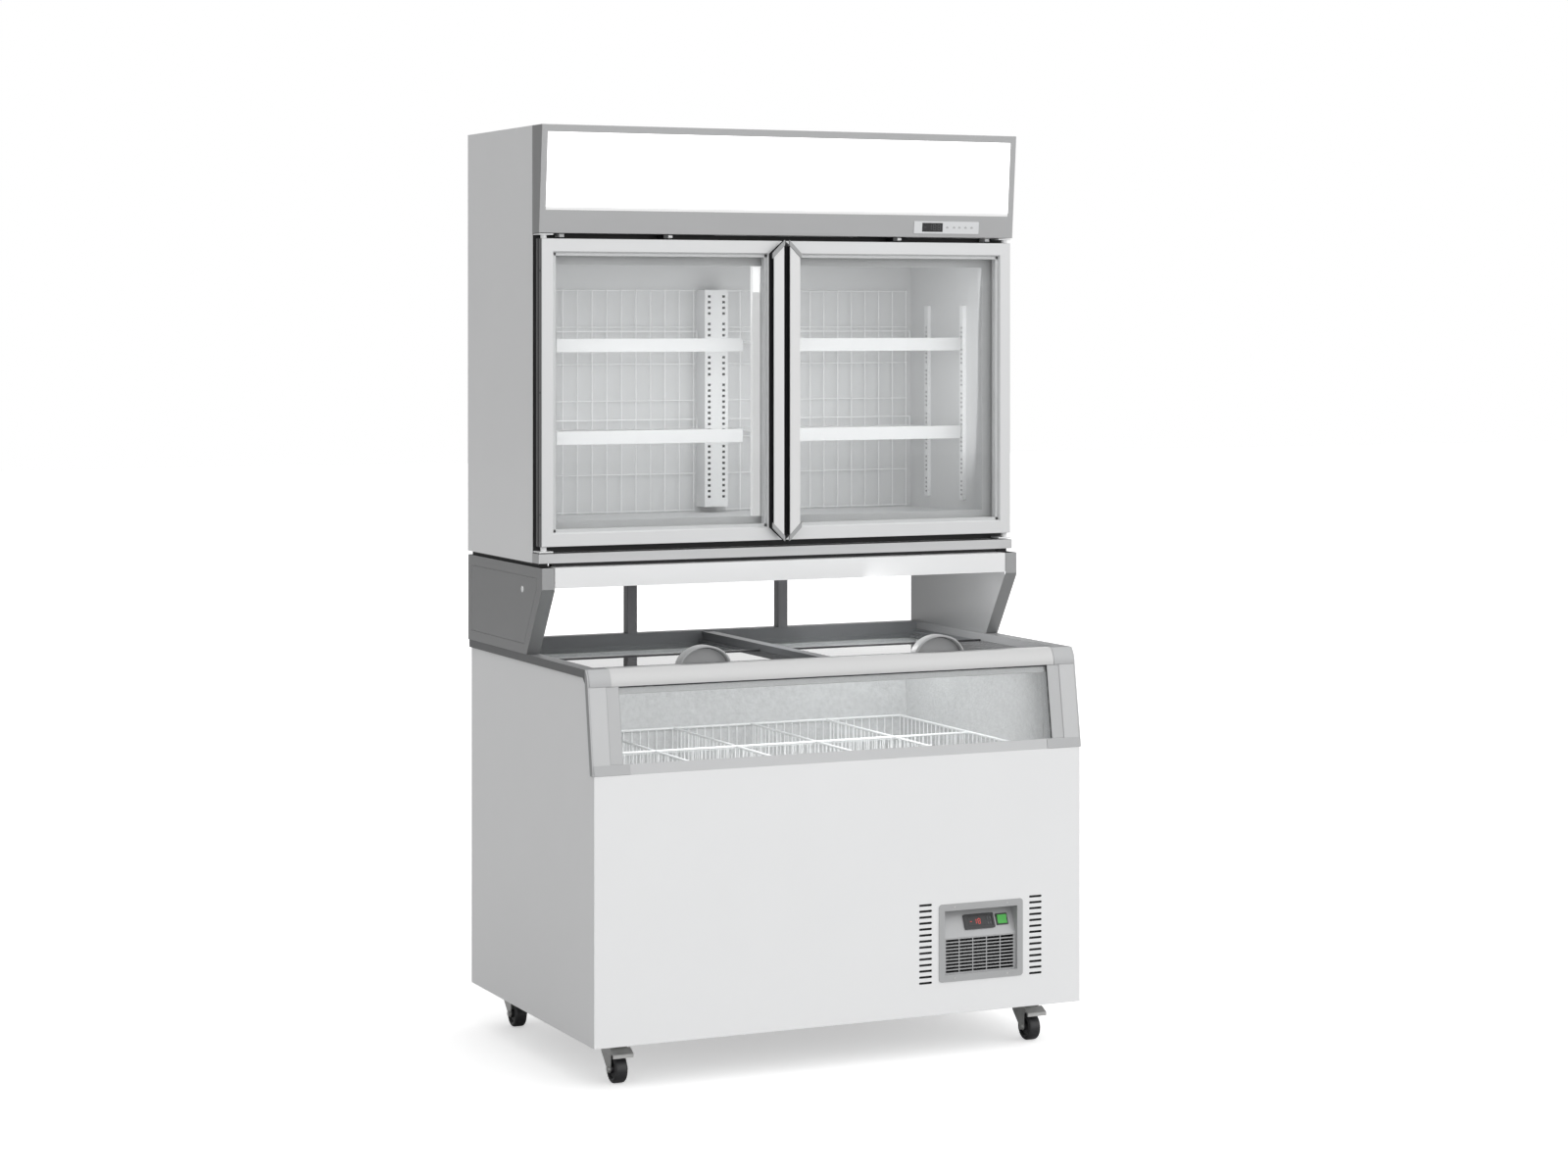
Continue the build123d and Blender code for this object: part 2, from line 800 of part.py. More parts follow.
bracket_outline = [
    (bracket_rear, trim_top),
    (2.0, trim_top),
    (bracket_front, bracket_bend),
    (bracket_front, bracket_top),
    (bracket_rear, bracket_top),
]
groove_outline = [
    (bracket_rear - 26, trim_top + 24),
    (18.0, trim_top + 24),
    (bracket_front + 32, bracket_bend + 4),
    (bracket_front + 32, bracket_top - 24),
    (bracket_rear - 26, bracket_top - 24),
]
hollow_outline = [
    (bracket_rear - 2, trim_top + 2),
    (3.5, trim_top + 2),
    (bracket_front + 2, bracket_bend + 1),
    (bracket_front + 2, bracket_top + 1),
    (bracket_rear - 2, bracket_top + 1),
]

with BuildPart() as support_brackets:
    for side in (-1, 1):
        inner = bracket_outer - bracket_thickness
        start = inner if side > 0 else -bracket_outer
        side_prism(bracket_outline, (start, start + bracket_thickness))
    upright = edges().filter_by(Axis.Z).group_by(Axis.Y)[0]
    fillet(upright, 3)
    for side in (-1, 1):
        skin = side * (bracket_outer - 0.8)
        with BuildSketch(Plane.YZ.offset(skin)):
            with BuildLine():
                Polyline(*groove_outline, close=True)
            make_face()
            offset(amount=-1.6, mode=Mode.SUBTRACT)
        extrude(amount=side * 3, mode=Mode.SUBTRACT)
        hollow = sorted((side * (inner + 2), side * (bracket_outer - 2)))
        side_prism(hollow_outline, hollow, mode=Mode.SUBTRACT)
save(support_brackets, "support_brackets")

post_x = 208.5
post_y = 390.0
post_size = 27.0
with BuildPart() as rear_posts:
    with BuildSketch(Plane.XY.offset(trim_top)):
        for side in (-1, 1):
            with Locations((side * post_x, post_y)):
                RectangleRounded(post_size, post_size, 2)
                Rectangle(post_size - 3, post_size - 3, mode=Mode.SUBTRACT)
    extrude(amount=upper_bottom - trim_top)
save(rear_posts, "rear_posts")

beam_half = bracket_outer - bracket_thickness - fit_gap
beam_bottom = 1109.0
beam_depth = 80.0
with BuildPart() as light_beam:
    block(
        (-beam_half, beam_half),
        (bracket_front, bracket_front + beam_depth),
        (beam_bottom, bracket_top),
    )
    block(
        (-beam_half - 1, beam_half + 1),
        (bracket_front + 2, bracket_front + beam_depth - 2),
        (beam_bottom - 1, bracket_top - 2),
        mode=Mode.SUBTRACT,
    )
save(light_beam, "light_beam")

with BuildPart() as spacer_strips:
    for side in (-1, 1):
        strip_x = sorted((side * 600, side * 622))
        block(strip_x, (-60, 405), (bracket_top, upper_bottom))
    block((-590, 590), (-60, -40), (bracket_top, upper_bottom))
save(spacer_strips, "spacer_strips")

# ---- Upper cabinet ----

with BuildPart() as upper_outer_shell:
    block(
        (-upper_half, upper_half), (upper_front, upper_rear), (upper_bottom, upper_top)
    )
    block(
        (-upper_half + sheet, upper_half - sheet),
        (upper_front - 1, upper_rear - sheet),
        (upper_bottom + sheet, upper_top - sheet),
        mode=Mode.SUBTRACT,
    )
    with BuildSketch(Plane.XZ.offset(-upper_rear - 2)):
        with Locations((0, 2057)):
            with GridLocations(160, 16, 6, 10):
                SlotOverall(110, 6)
    extrude(amount=6, mode=Mode.SUBTRACT)
save(upper_outer_shell, "upper_outer_shell")

lip = 11.5  # the opening is this much narrower than the room behind it
lip_half = upper_liner_half - lip
lip_back = upper_front + 19
lip_z = (upper_floor + lip, upper_ceiling - lip)
with BuildPart() as upper_liner:
    block(
        (-upper_skin, upper_skin),
        (upper_front + sheet, upper_back_wall + liner_sheet),
        (upper_floor - liner_sheet, upper_ceiling + liner_sheet),
    )
    block(
        (-upper_half + sheet, upper_half - sheet),
        (upper_front, upper_front + sheet),
        (sill_top, header_bottom - 1),
    )
    block(
        (-upper_liner_half, upper_liner_half),
        (lip_back, upper_back_wall),
        (upper_floor, upper_ceiling),
        mode=Mode.SUBTRACT,
    )
    block(
        (-lip_half, lip_half),
        (upper_front - 1, lip_back + 1),
        lip_z,
        mode=Mode.SUBTRACT,
    )
save(upper_liner, "upper_liner")

sill_front = -76.5
with BuildPart() as sill_rail:
    block((-upper_half, upper_half), (sill_front, upper_front), (sill_bottom, sill_top))
    block(
        (-upper_half - 1, upper_half + 1),
        (sill_front + 2, upper_front + 5),
        (sill_bottom + 2, sill_top - 2),
        mode=Mode.SUBTRACT,
    )
    for side in (-1, 1):
        end = sorted((side * upper_half, side * (upper_half - 2)))
        block(end, (sill_front, upper_front), (sill_bottom, sill_top))
save(sill_rail, "sill_rail")

header_height = upper_top - header_bottom
header_lean = (header_foot - header_brow) / header_height
header_plane = Plane(
    origin=(0, header_foot, header_bottom),
    x_dir=(1, 0, 0),
    z_dir=(0, -1, -header_lean),
)
light_half = 613.5
light_bottom = 53.6
light_top = 237.2
display_x = 442.0
display_z = 24.5
display_size = (180.0, 30.0)

with BuildPart() as header_housing:
    side_prism(
        [
            (header_foot, header_bottom),
            (header_brow, upper_top),
            (upper_front - fit_gap, upper_top),
            (upper_front - fit_gap, header_bottom),
        ],
        (-upper_half, upper_half),
    )
    side_prism(
        [
            (header_foot + 2, header_bottom + 2),
            (header_brow + 2.2, upper_top - 2),
            (upper_front + 5, upper_top - 2),
            (upper_front + 5, header_bottom + 2),
        ],
        (-upper_half + 2, upper_half - 2),
        mode=Mode.SUBTRACT,
    )
    with BuildSketch(header_plane):
        with Locations((0, (light_bottom + light_top) / 2)):
            Rectangle(2 * light_half, light_top - light_bottom)
        with Locations((display_x, display_z)):
            Rectangle(display_size[0] - 10, display_size[1] - 8)
    extrude(amount=6, both=True, mode=Mode.SUBTRACT)
save(header_housing, "header_housing")

mullion_half = 39.0
light_strip = (mullion_half + fit_gap, 57.0)  # upright lights beside the mullion
with BuildPart() as light_panels:
    with BuildSketch(header_plane.offset(-0.6)):
        with Locations((0, (light_bottom + light_top) / 2)):
            Rectangle(2 * light_half - 0.6, light_top - light_bottom - 0.6)
    extrude(amount=-3)
    block(
        (-beam_half + 4, beam_half - 4),
        (bracket_front + 5, bracket_front + beam_depth - 5),
        (beam_bottom + 1, beam_bottom + 4),
    )
    for side in (-1, 1):
        strip_x = sorted((side * light_strip[0], side * light_strip[1]))
        strip_z = (lip_z[0] + fit_gap, lip_z[1] - fit_gap)
        block(strip_x, (upper_front + 9, upper_front + 23), strip_z)
save(light_panels, "light_panels")

with BuildPart() as display_panel:
    with BuildSketch(header_plane.offset(0.1)):
        with Locations((display_x, display_z)):
            RectangleRounded(*display_size, 2)
    extrude(amount=1.6)
    with BuildSketch(header_plane.offset(0.1)):
        with Locations((display_x, display_z)):
            Rectangle(display_size[0] - 12, display_size[1] - 10)
    extrude(amount=-18)
    with BuildSketch(header_plane.offset(0.9)):
        with Locations((display_x - 39, display_z)):
            Rectangle(57, 22)
    extrude(amount=2, mode=Mode.SUBTRACT)
save(display_panel, "display_panel")

bracket_reach = -75.0  # the brackets stand out from the body to here
lower_bracket = (1190.5, 1193.5)
upper_bracket = (1934.5, 1937.5)
with BuildPart() as hinge_brackets:
    for side in (-1, 1):
        span = sorted((side * 592, side * 626))
        block(span, (bracket_reach, upper_front), lower_bracket)
        block(span, (bracket_reach, upper_front), upper_bracket)
        rod(side * hinge_x, hinge_y, lower_bracket[1] + 10, hinge_pin_radius, 24, "z")
        rod(side * hinge_x, hinge_y, upper_bracket[0] - 9.5, hinge_pin_radius, 22, "z")
        # Stop that the door's top closes against.
        stop = sorted((side * 560, side * 572))
        block(stop, (-62, upper_front), (1930, upper_bracket[1]))
save(hinge_brackets, "hinge_brackets")

# ---- Fittings inside the upper cabinet ----

centre_post_half = 32.0
centre_post_front = 326.0
slot_pitch = 11.1
slot_groups = 8
group_pitch = 5 * slot_pitch
slot_height = 4.6
post_z = (1263.0, 1811.0)
first_post_group = 1326.7
rail_y = (82.0, 276.0)
rail_z = (1280.0, 1771.0)
first_rail_group = 1309.9
with BuildPart() as shelf_standards:
    block(
        (-centre_post_half, centre_post_half),
        (centre_post_front, upper_back_wall),
        post_z,
    )
    block(
        (-centre_post_half + 2, centre_post_half - 2),
        (centre_post_front + 2, upper_back_wall + 1),
        (post_z[0] - 1, post_z[1] + 1),
        mode=Mode.SUBTRACT,
    )
    # Mullion behind the gap between the doors.
    block((-mullion_half, mullion_half), (upper_front, upper_front + 22), lip_z)
    with BuildSketch(Plane.XZ.offset(-centre_post_front)):
        for group in range(slot_groups):
            with Locations((0, first_post_group + group * group_pitch)):
                with GridLocations(37, slot_pitch, 2, 4):
                    Rectangle(6, slot_height)
    extrude(amount=-4, mode=Mode.SUBTRACT)
    for side in (-1, 1):
        wall_x = side * upper_liner_half
        face_x = side * (upper_liner_half - 9)
        for y in rail_y:
            block(sorted((wall_x, face_x)), (y - 9, y + 9), rail_z)
        with BuildSketch(Plane.YZ.offset(face_x)):
            for group in range(slot_groups):
                group_z = first_rail_group + group * group_pitch
                with Locations((sum(rail_y) / 2, group_z)):
                    with GridLocations(rail_y[1] - rail_y[0], slot_pitch, 2, 4):
                        Rectangle(8, slot_height)
        extrude(amount=side * 2, mode=Mode.SUBTRACT)
save(shelf_standards, "shelf_standards")

guard_wire = 3.0
guard_y = 366.0
guard_middle = (301.0, 1531.5)
guard_size = (524.0, 562.0)
guard_bar_pitch = 39.4
guard_rail_pitch = 92.5
with BuildPart() as wire_guards:
    with BuildSketch(Plane.XZ.offset(-guard_y)):
        for side in (-1, 1):
            with Locations((side * guard_middle[0], guard_middle[1])):
                with GridLocations(guard_bar_pitch, 0, 14, 1):
                    Rectangle(guard_wire, guard_size[1])
                with GridLocations(0, guard_rail_pitch, 1, 7):
                    Rectangle(guard_size[0], guard_wire)
    extrude(amount=-guard_wire)
    # Stand-offs that hold the grids clear of the back wall.
    for side in (-1, 1):
        for column in (-4.5, 4.5):
            for row in (-3, 3):
                x = side * guard_middle[0] + column * guard_bar_pitch
                z = guard_middle[1] + row * guard_rail_pitch
                block((x - 4, x + 4), (guard_y + 1, upper_back_wall), (z - 4, z + 4))
save(wire_guards, "wire_guards")

shelf_front = 80.0
shelf_rear = 360.0
shelf_levels = (1684.0, 1462.0)
shelf_x = (38.0, 566.0)
shelf_width = shelf_x[1] - shelf_x[0]
wire = 4.0
strip_drop = 26.0

with BuildPart() as wire_shelves:
    for level in shelf_levels:
        with BuildSketch(Plane.XY.offset(level - wire)):
            for side in (-1, 1):
                middle = side * (shelf_x[0] + shelf_x[1]) / 2
                with Locations((middle, (shelf_front + shelf_rear) / 2)):
                    with GridLocations((shelf_width - wire) / 22, 0, 23, 1):
                        Rectangle(wire, shelf_rear - shelf_front)
                    with GridLocations(0, (shelf_rear - shelf_front - wire) / 3, 1, 4):
                        Rectangle(shelf_width, wire)
        extrude(amount=wire)
        # Arms that reach from the shelf into the wall rails.
        for side in (-1, 1):
            reach = sorted((side * (shelf_x[1] - wire), side * (upper_liner_half - 8)))
            for y in rail_y:
                block(reach, (y - 2, y + 2), (level - wire, level - 0.5))
save(wire_shelves, "wire_shelves")

with BuildPart() as price_strips:
    for level in shelf_levels:
        for side in (-1, 1):
            block(
                sorted((side * shelf_x[0], side * shelf_x[1])),
                (shelf_front - 3, shelf_front - fit_gap),
                (level - strip_drop, level + 6),
            )
save(price_strips, "price_strips")

# ---- Baskets in the chest ----

rack_half = 532.5
rack_columns = 5
rack_rows = ((-346.0, -40.0), (-40.0, 350.0))
rack_wall = 3.0
rack_rim_z = 710.0
rack_bottom = 462.0
with BuildPart() as wire_baskets:
    rack_y = (rack_rows[0][0], rack_rows[1][1])
    block((-rack_half, rack_half), rack_y, (rack_bottom, rack_rim_z))
    cell = 2 * rack_half / rack_columns
    for column in range(rack_columns):
        left = -rack_half + column * cell
        for row in rack_rows:
            block(
                (left + rack_wall / 2, left + cell - rack_wall / 2),
                (row[0] + rack_wall / 2, row[1] - rack_wall / 2),
                (rack_bottom + rack_wall, rack_rim_z + 1),
                mode=Mode.SUBTRACT,
            )
    # Hooks that hang the rack from the ledge of the liner.
    for side in (-1, 1):
        hook_x = sorted((side * (rack_half - 1), side * (liner_half - 3)))
        for y in (-280, -90, 100, 290):
            block(hook_x, (y - 15, y + 15), (ledge_z + fit_gap, ledge_z + 4))
save(wire_baskets, "wire_baskets")

# ---- Sliding lids ----

handle_width = 134.0
handle_height = 54.0
handle_depth = 30.0
handle_front = -312.0
handle_band = 9.0  # width of the band round the set-back face
lid_edge_z = (920.0, 931.0)
for name, side in (("left", -1), ("right", 1)):
    wide = (bar_half + 1, opening_half - 1)
    narrow_lid = (bar_half + 11, opening_half - 11)
    limits = sorted((side * wide[0], side * wide[1]))
    lower_limits = sorted((side * narrow_lid[0], side * narrow_lid[1]))
    middle = sum(limits) / 2

    with BuildPart() as front_lid_glass:
        block(limits, (lid_front, lid_split), (upper_ledge + 1, upper_ledge + 1 + lid_glass))
    save(front_lid_glass, f"front_lid_glass_{name}")

    with BuildPart() as front_lid_edge:
        block(limits, (lid_split - 6, lid_split + 3), lid_edge_z)
        block(
            (limits[0] - 1, limits[1] + 1),
            (lid_split - 7, lid_split),
            (upper_ledge + 1, upper_ledge + 1 + lid_glass),
            mode=Mode.SUBTRACT,
        )
        # Cut back at both ends to ride over the tracks.
        for end in ((limits[0] - 1, limits[0] + 10), (limits[1] - 10, limits[1] + 1)):
            block(
                end,
                (lid_split - 7, lid_split + 4),
                (lid_edge_z[0] - 1, upper_ledge + 0.5),
                mode=Mode.SUBTRACT,
            )
    save(front_lid_edge, f"front_lid_edge_{name}")

    lid_top = upper_ledge + 1 + lid_glass
    with BuildPart() as lid_handle:
        with BuildSketch(Plane.XZ.offset(-handle_front)):
            with Locations((middle, lid_top)):
                Ellipse(handle_width / 2, handle_height)
                with Locations((0, -handle_height / 2)):
                    Rectangle(handle_width + 2, handle_height, mode=Mode.SUBTRACT)
        extrude(amount=-handle_depth)
        with BuildSketch(Plane.XZ.offset(-handle_front)):
            with Locations((middle, lid_top)):
                Ellipse(handle_width / 2 - handle_band, handle_height - handle_band)
                with Locations((0, 4 - handle_height / 2)):
                    Rectangle(handle_width + 2, handle_height, mode=Mode.SUBTRACT)
        extrude(amount=-handle_depth + 8, mode=Mode.SUBTRACT)
    save(lid_handle, f"lid_handle_{name}")

    with BuildPart() as rear_lid_glass:
        block(lower_limits, (10, lid_rear), (lower_ledge + 1, lower_ledge + 5))
    save(rear_lid_glass, f"rear_lid_glass_{name}")

# ---- Doors ----

pane = 4.0
gasket_width = 14.0
handle_reach = (7.7, 34.8)
handle_face = -100.0
cap_height = 12.0
for name, side in (("left", -1), ("right", 1)):
    outer_limits = sorted((side * door_gap / 2, side * door_outer))
    glass_limits = sorted(
        (side * (door_gap / 2 + door_inner_stile), side * (door_outer - door_outer_stile))
    )
    glass_z = (door_bottom + door_rail, door_top - door_rail)

    with BuildPart() as door_frame:
        door_y = (door_front, door_front + door_thickness)
        block(outer_limits, door_y, (door_bottom, door_top))
        block(glass_limits, (-100, 0), glass_z, mode=Mode.SUBTRACT)
        pin_hole = hinge_pin_radius + running_clearance
        rod(side * hinge_x, hinge_y, door_bottom, pin_hole, 24, "z", mode=Mode.SUBTRACT)
        rod(side * hinge_x, hinge_y, door_top, pin_hole, 26, "z", mode=Mode.SUBTRACT)
    save(door_frame, f"door_frame_{name}")

    with BuildPart() as door_glass:
        for depth in (4, 26):
            y = door_front + depth
            block(glass_limits, (y, y + pane), glass_z)
    save(door_glass, f"door_glass_{name}")

    with BuildPart() as door_gasket:
        gasket_outer = sorted((side * (door_gap / 2 + 6), side * 614))
        inset = gasket_width
        gasket_y = (door_front + door_thickness, upper_front - 0.6)
        block(gasket_outer, gasket_y, (door_bottom + 5, door_top - 5))
        block(
            (gasket_outer[0] + inset, gasket_outer[1] - inset),
            (-60, 0),
            (door_bottom + 5 + inset, door_top - 5 - inset),
            mode=Mode.SUBTRACT,
        )
    save(door_gasket, f"door_gasket_{name}")

    with BuildPart() as door_handle:
        near, far = handle_reach
        drop = far - near
        top, bottom = door_top, door_bottom
        with BuildSketch(Plane.XZ.offset(-handle_face)):
            with BuildLine():
                Polyline(
                    (side * near, top - cap_height),
                    (side * far, top - drop - cap_height),
                    (side * far, bottom + drop + cap_height),
                    (side * near, bottom + cap_height),
                    close=True,
                )
            make_face()
        extrude(amount=-3)
        web = sorted((side * near, side * (near + 2.5)))
        block(web, (handle_face, door_front), (bottom + cap_height, top - cap_height))
        for start, step in ((top, -1), (bottom, 1)):
            with BuildSketch(Plane.XZ.offset(-handle_face + 0.6)):
                with BuildLine():
                    Polyline(
                        (side * near, start),
                        (side * far, start + step * drop),
                        (side * far, start + step * (drop + cap_height - fit_gap)),
                        (side * near, start + step * (cap_height - fit_gap)),
                        close=True,
                    )
                make_face()
            extrude(amount=-(door_front - handle_face + 0.6))
    save(door_handle, f"door_handle_{name}")
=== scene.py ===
"""Looks of the display freezer: chest freezer below, glass-door cabinet above. All lengths in metres."""

import json
import math

import bmesh
import bpy
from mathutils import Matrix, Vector


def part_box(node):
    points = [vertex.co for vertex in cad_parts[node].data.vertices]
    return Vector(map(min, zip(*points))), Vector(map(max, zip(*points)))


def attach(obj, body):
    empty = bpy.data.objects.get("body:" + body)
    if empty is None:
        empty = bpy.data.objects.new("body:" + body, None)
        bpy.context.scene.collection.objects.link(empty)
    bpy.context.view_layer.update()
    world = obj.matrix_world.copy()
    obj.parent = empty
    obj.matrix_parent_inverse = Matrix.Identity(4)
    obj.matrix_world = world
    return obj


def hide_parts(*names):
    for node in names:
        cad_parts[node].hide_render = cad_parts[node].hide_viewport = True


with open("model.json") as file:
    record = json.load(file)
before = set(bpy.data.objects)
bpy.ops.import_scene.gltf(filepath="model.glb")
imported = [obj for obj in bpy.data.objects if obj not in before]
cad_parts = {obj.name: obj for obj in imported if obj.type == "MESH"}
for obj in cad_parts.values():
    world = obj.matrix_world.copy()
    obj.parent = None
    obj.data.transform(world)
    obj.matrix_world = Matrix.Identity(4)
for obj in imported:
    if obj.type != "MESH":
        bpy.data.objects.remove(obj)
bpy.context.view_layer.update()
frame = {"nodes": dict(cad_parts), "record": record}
nodes = frame["nodes"]
SIDES = (("left", -1), ("right", 1))
CORNERS = ("front_left", "front_right", "rear_left", "rear_right")


# ---- Materials ----


def new_material(name):
    """A new node material: the material, its node tree and its shader."""
    mat = bpy.data.materials.new(name)
    mat.use_nodes = True
    tree = mat.node_tree
    shader = tree.nodes["Principled BSDF"]
    return mat, tree, shader


def add(tree, kind, **values):
    """Add a node and set its input sockets by name."""
    node = tree.nodes.new("ShaderNode" + kind)
    for key, value in values.items():
        node.inputs[key].default_value = value
    return node


def math_node(tree, operation, *values):
    """A maths node; each value is a number or a socket."""
    node = tree.nodes.new("ShaderNodeMath")
    node.operation = operation
    for index, value in enumerate(values):
        if isinstance(value, (int, float)):
            node.inputs[index].default_value = value
        else:
            tree.links.new(value, node.inputs[index])
    return node.outputs["Value"]


def object_coords(tree, stretch=(1.0, 1.0, 1.0)):
    """Texture coordinates in metres, stretched along an axis for brushed or rolled grain."""
    coords = add(tree, "TexCoord")
    mapping = add(tree, "Mapping", Scale=stretch)
    tree.links.new(coords.outputs["Object"], mapping.inputs["Vector"])
    return mapping.outputs["Vector"]


def noise(tree, vector, scale, detail=3.0, roughness=0.5):
    node = add(tree, "TexNoise", Scale=scale, Detail=detail, Roughness=roughness)
    tree.links.new(vector, node.inputs["Vector"])
    return node.outputs["Fac"]


# Noise values lie mostly between these two.
NOISE_LOW, NOISE_HIGH = 0.3, 0.7


def ranged(tree, value, low, high):
    """Map a noise value into the given range."""
    node = tree.nodes.new("ShaderNodeMapRange")
    node.inputs["To Min"].default_value = low
    node.inputs["To Max"].default_value = high
    node.inputs["From Min"].default_value = NOISE_LOW
    node.inputs["From Max"].default_value = NOISE_HIGH
    tree.links.new(value, node.inputs["Value"])
    return node.outputs["Result"]


def tinted(tree, value, color, spread):
    """The colour, a little darker and lighter as the texture value changes."""
    mix = tree.nodes.new("ShaderNodeMix")
    mix.data_type = "RGBA"
    mix.inputs["A"].default_value = [c * (1 - spread) for c in color] + [1]
    mix.inputs["B"].default_value = [min(1, c * (1 + spread)) for c in color] + [1]
    tree.links.new(value, mix.inputs["Factor"])
    return mix.outputs["Result"]


def surface(
    name,
    color,
    rough=0.4,
    metallic=0.0,
    coat=0.0,
    spread=0.03,
    rough_spread=0.05,
    patch=6.0,
    grain=700.0,
    bump=0.04,
    depth=0.0002,
    stretch=(1.0, 1.0, 1.0),
    round_edge=0.0,
):
    """A painted, moulded or brushed surface: colour patches, uneven gloss and a fine grain."""
    mat, tree, shader = new_material(name)
    vector = object_coords(tree, stretch)
    broad = noise(tree, vector, patch)
    fine = noise(tree, vector, grain, 2.0)
    tree.links.new(tinted(tree, broad, color, spread), shader.inputs["Base Color"])
    gloss = ranged(tree, fine, rough - rough_spread, rough + rough_spread)
    tree.links.new(gloss, shader.inputs["Roughness"])
    shader.inputs["Metallic"].default_value = metallic
    shader.inputs["Coat Weight"].default_value = coat
    shader.inputs["Coat Roughness"].default_value = 0.12
    relief = add(tree, "Bump", Strength=bump, Distance=depth)
    tree.links.new(fine, relief.inputs["Height"])
    if round_edge:
        edge = tree.nodes.new("ShaderNodeBevel")
        edge.samples = 4
        edge.inputs["Radius"].default_value = round_edge
        tree.links.new(edge.outputs["Normal"], relief.inputs["Normal"])
    tree.links.new(relief.outputs["Normal"], shader.inputs["Normal"])
    return mat


def stucco(name, color, pitch, depth, metallic, rough):
    """Stucco-embossed sheet: soft pebbles with fine valleys between them."""
    mat, tree, shader = new_material(name)
    vector = object_coords(tree)
    cells = add(tree, "TexVoronoi", Scale=1 / pitch)
    cells.feature = "SMOOTH_F1"
    tree.links.new(vector, cells.inputs["Vector"])
    wobble = noise(tree, vector, 0.6 / pitch, 2.0)
    height = math_node(tree, "ADD", cells.outputs["Distance"], wobble)
    relief = add(tree, "Bump", Strength=0.55, Distance=depth)
    tree.links.new(height, relief.inputs["Height"])
    tree.links.new(relief.outputs["Normal"], shader.inputs["Normal"])
    tree.links.new(tinted(tree, wobble, color, 0.22), shader.inputs["Base Color"])
    shader.inputs["Metallic"].default_value = metallic
    tree.links.new(ranged(tree, wobble, rough, rough + 0.12), shader.inputs["Roughness"])
    return mat


def clear_glass(name, tint, veil, reflect):
    """Thin clear glass: see-through with a faint veil, and a mirror-like film that grows at a glance."""
    mat, tree, shader = new_material(name)
    tree.nodes.remove(shader)
    output = tree.nodes["Material Output"]
    see = tree.nodes.new("ShaderNodeBsdfTransparent")
    see.inputs["Color"].default_value = (*tint, 1)
    film = add(tree, "BsdfGlossy", Roughness=0.015)
    film.inputs["Color"].default_value = (1, 1, 1, 1)
    haze = add(tree, "BsdfDiffuse")
    haze.inputs["Color"].default_value = (0.92, 0.93, 0.93, 1)
    smear = ranged(tree, noise(tree, object_coords(tree), 3.0), veil * 0.6, veil * 1.4)
    dusty = tree.nodes.new("ShaderNodeMixShader")
    tree.links.new(smear, dusty.inputs["Fac"])
    tree.links.new(see.outputs["BSDF"], dusty.inputs[1])
    tree.links.new(haze.outputs["BSDF"], dusty.inputs[2])
    fresnel = add(tree, "Fresnel", IOR=1.5)
    strength = math_node(tree, "MULTIPLY", fresnel.outputs["Fac"], reflect)
    whole = tree.nodes.new("ShaderNodeMixShader")
    tree.links.new(strength, whole.inputs["Fac"])
    tree.links.new(dusty.outputs["Shader"], whole.inputs[1])
    tree.links.new(film.outputs["BSDF"], whole.inputs[2])
    tree.links.new(whole.outputs["Shader"], output.inputs["Surface"])
    return mat


def glowing(name, color, strength, uneven=0.02, dim_below=0.0, dim=0.3):
    """An opal or lit surface with a barely uneven glow, dimmer below a height."""
    mat, tree, shader = new_material(name)
    tint = tinted(tree, noise(tree, object_coords(tree), 2.5), color, uneven)
    if dim_below:
        split = add(tree, "SeparateXYZ")
        tree.links.new(object_coords(tree), split.inputs["Vector"])
        above = math_node(tree, "GREATER_THAN", split.outputs["Z"], dim_below)
        mix = tree.nodes.new("ShaderNodeMix")
        mix.data_type = "RGBA"
        mix.inputs["A"].default_value = (dim, dim, dim, 1)
        tree.links.new(tint, mix.inputs["B"])
        tree.links.new(above, mix.inputs["Factor"])
        tint = mix.outputs["Result"]
    tree.links.new(tint, shader.inputs["Emission Color"])
    tree.links.new(tint, shader.inputs["Base Color"])
    shader.inputs["Emission Strength"].default_value = strength
    shader.inputs["Roughness"].default_value = 0.35
    return mat


def lighten_ahead(mat, limit, color):
    """Use a lighter colour in front of a depth: the corner pieces of the edge trims, while the trims behind
    keep a darker colour that is painted shade.
    """
    tree = mat.node_tree
    shader = tree.nodes["Principled BSDF"]
    split = add(tree, "SeparateXYZ")
    tree.links.new(object_coords(tree), split.inputs["Vector"])
    ahead = math_node(tree, "LESS_THAN", split.outputs["Y"], limit)
    mix = tree.nodes.new("ShaderNodeMix")
    mix.data_type = "RGBA"
    tree.links.new(shader.inputs["Base Color"].links[0].from_socket, mix.inputs["A"])
    mix.inputs["B"].default_value = (*color, 1)
    tree.links.new(ahead, mix.inputs["Factor"])
    tree.links.new(mix.outputs["Result"], shader.inputs["Base Color"])


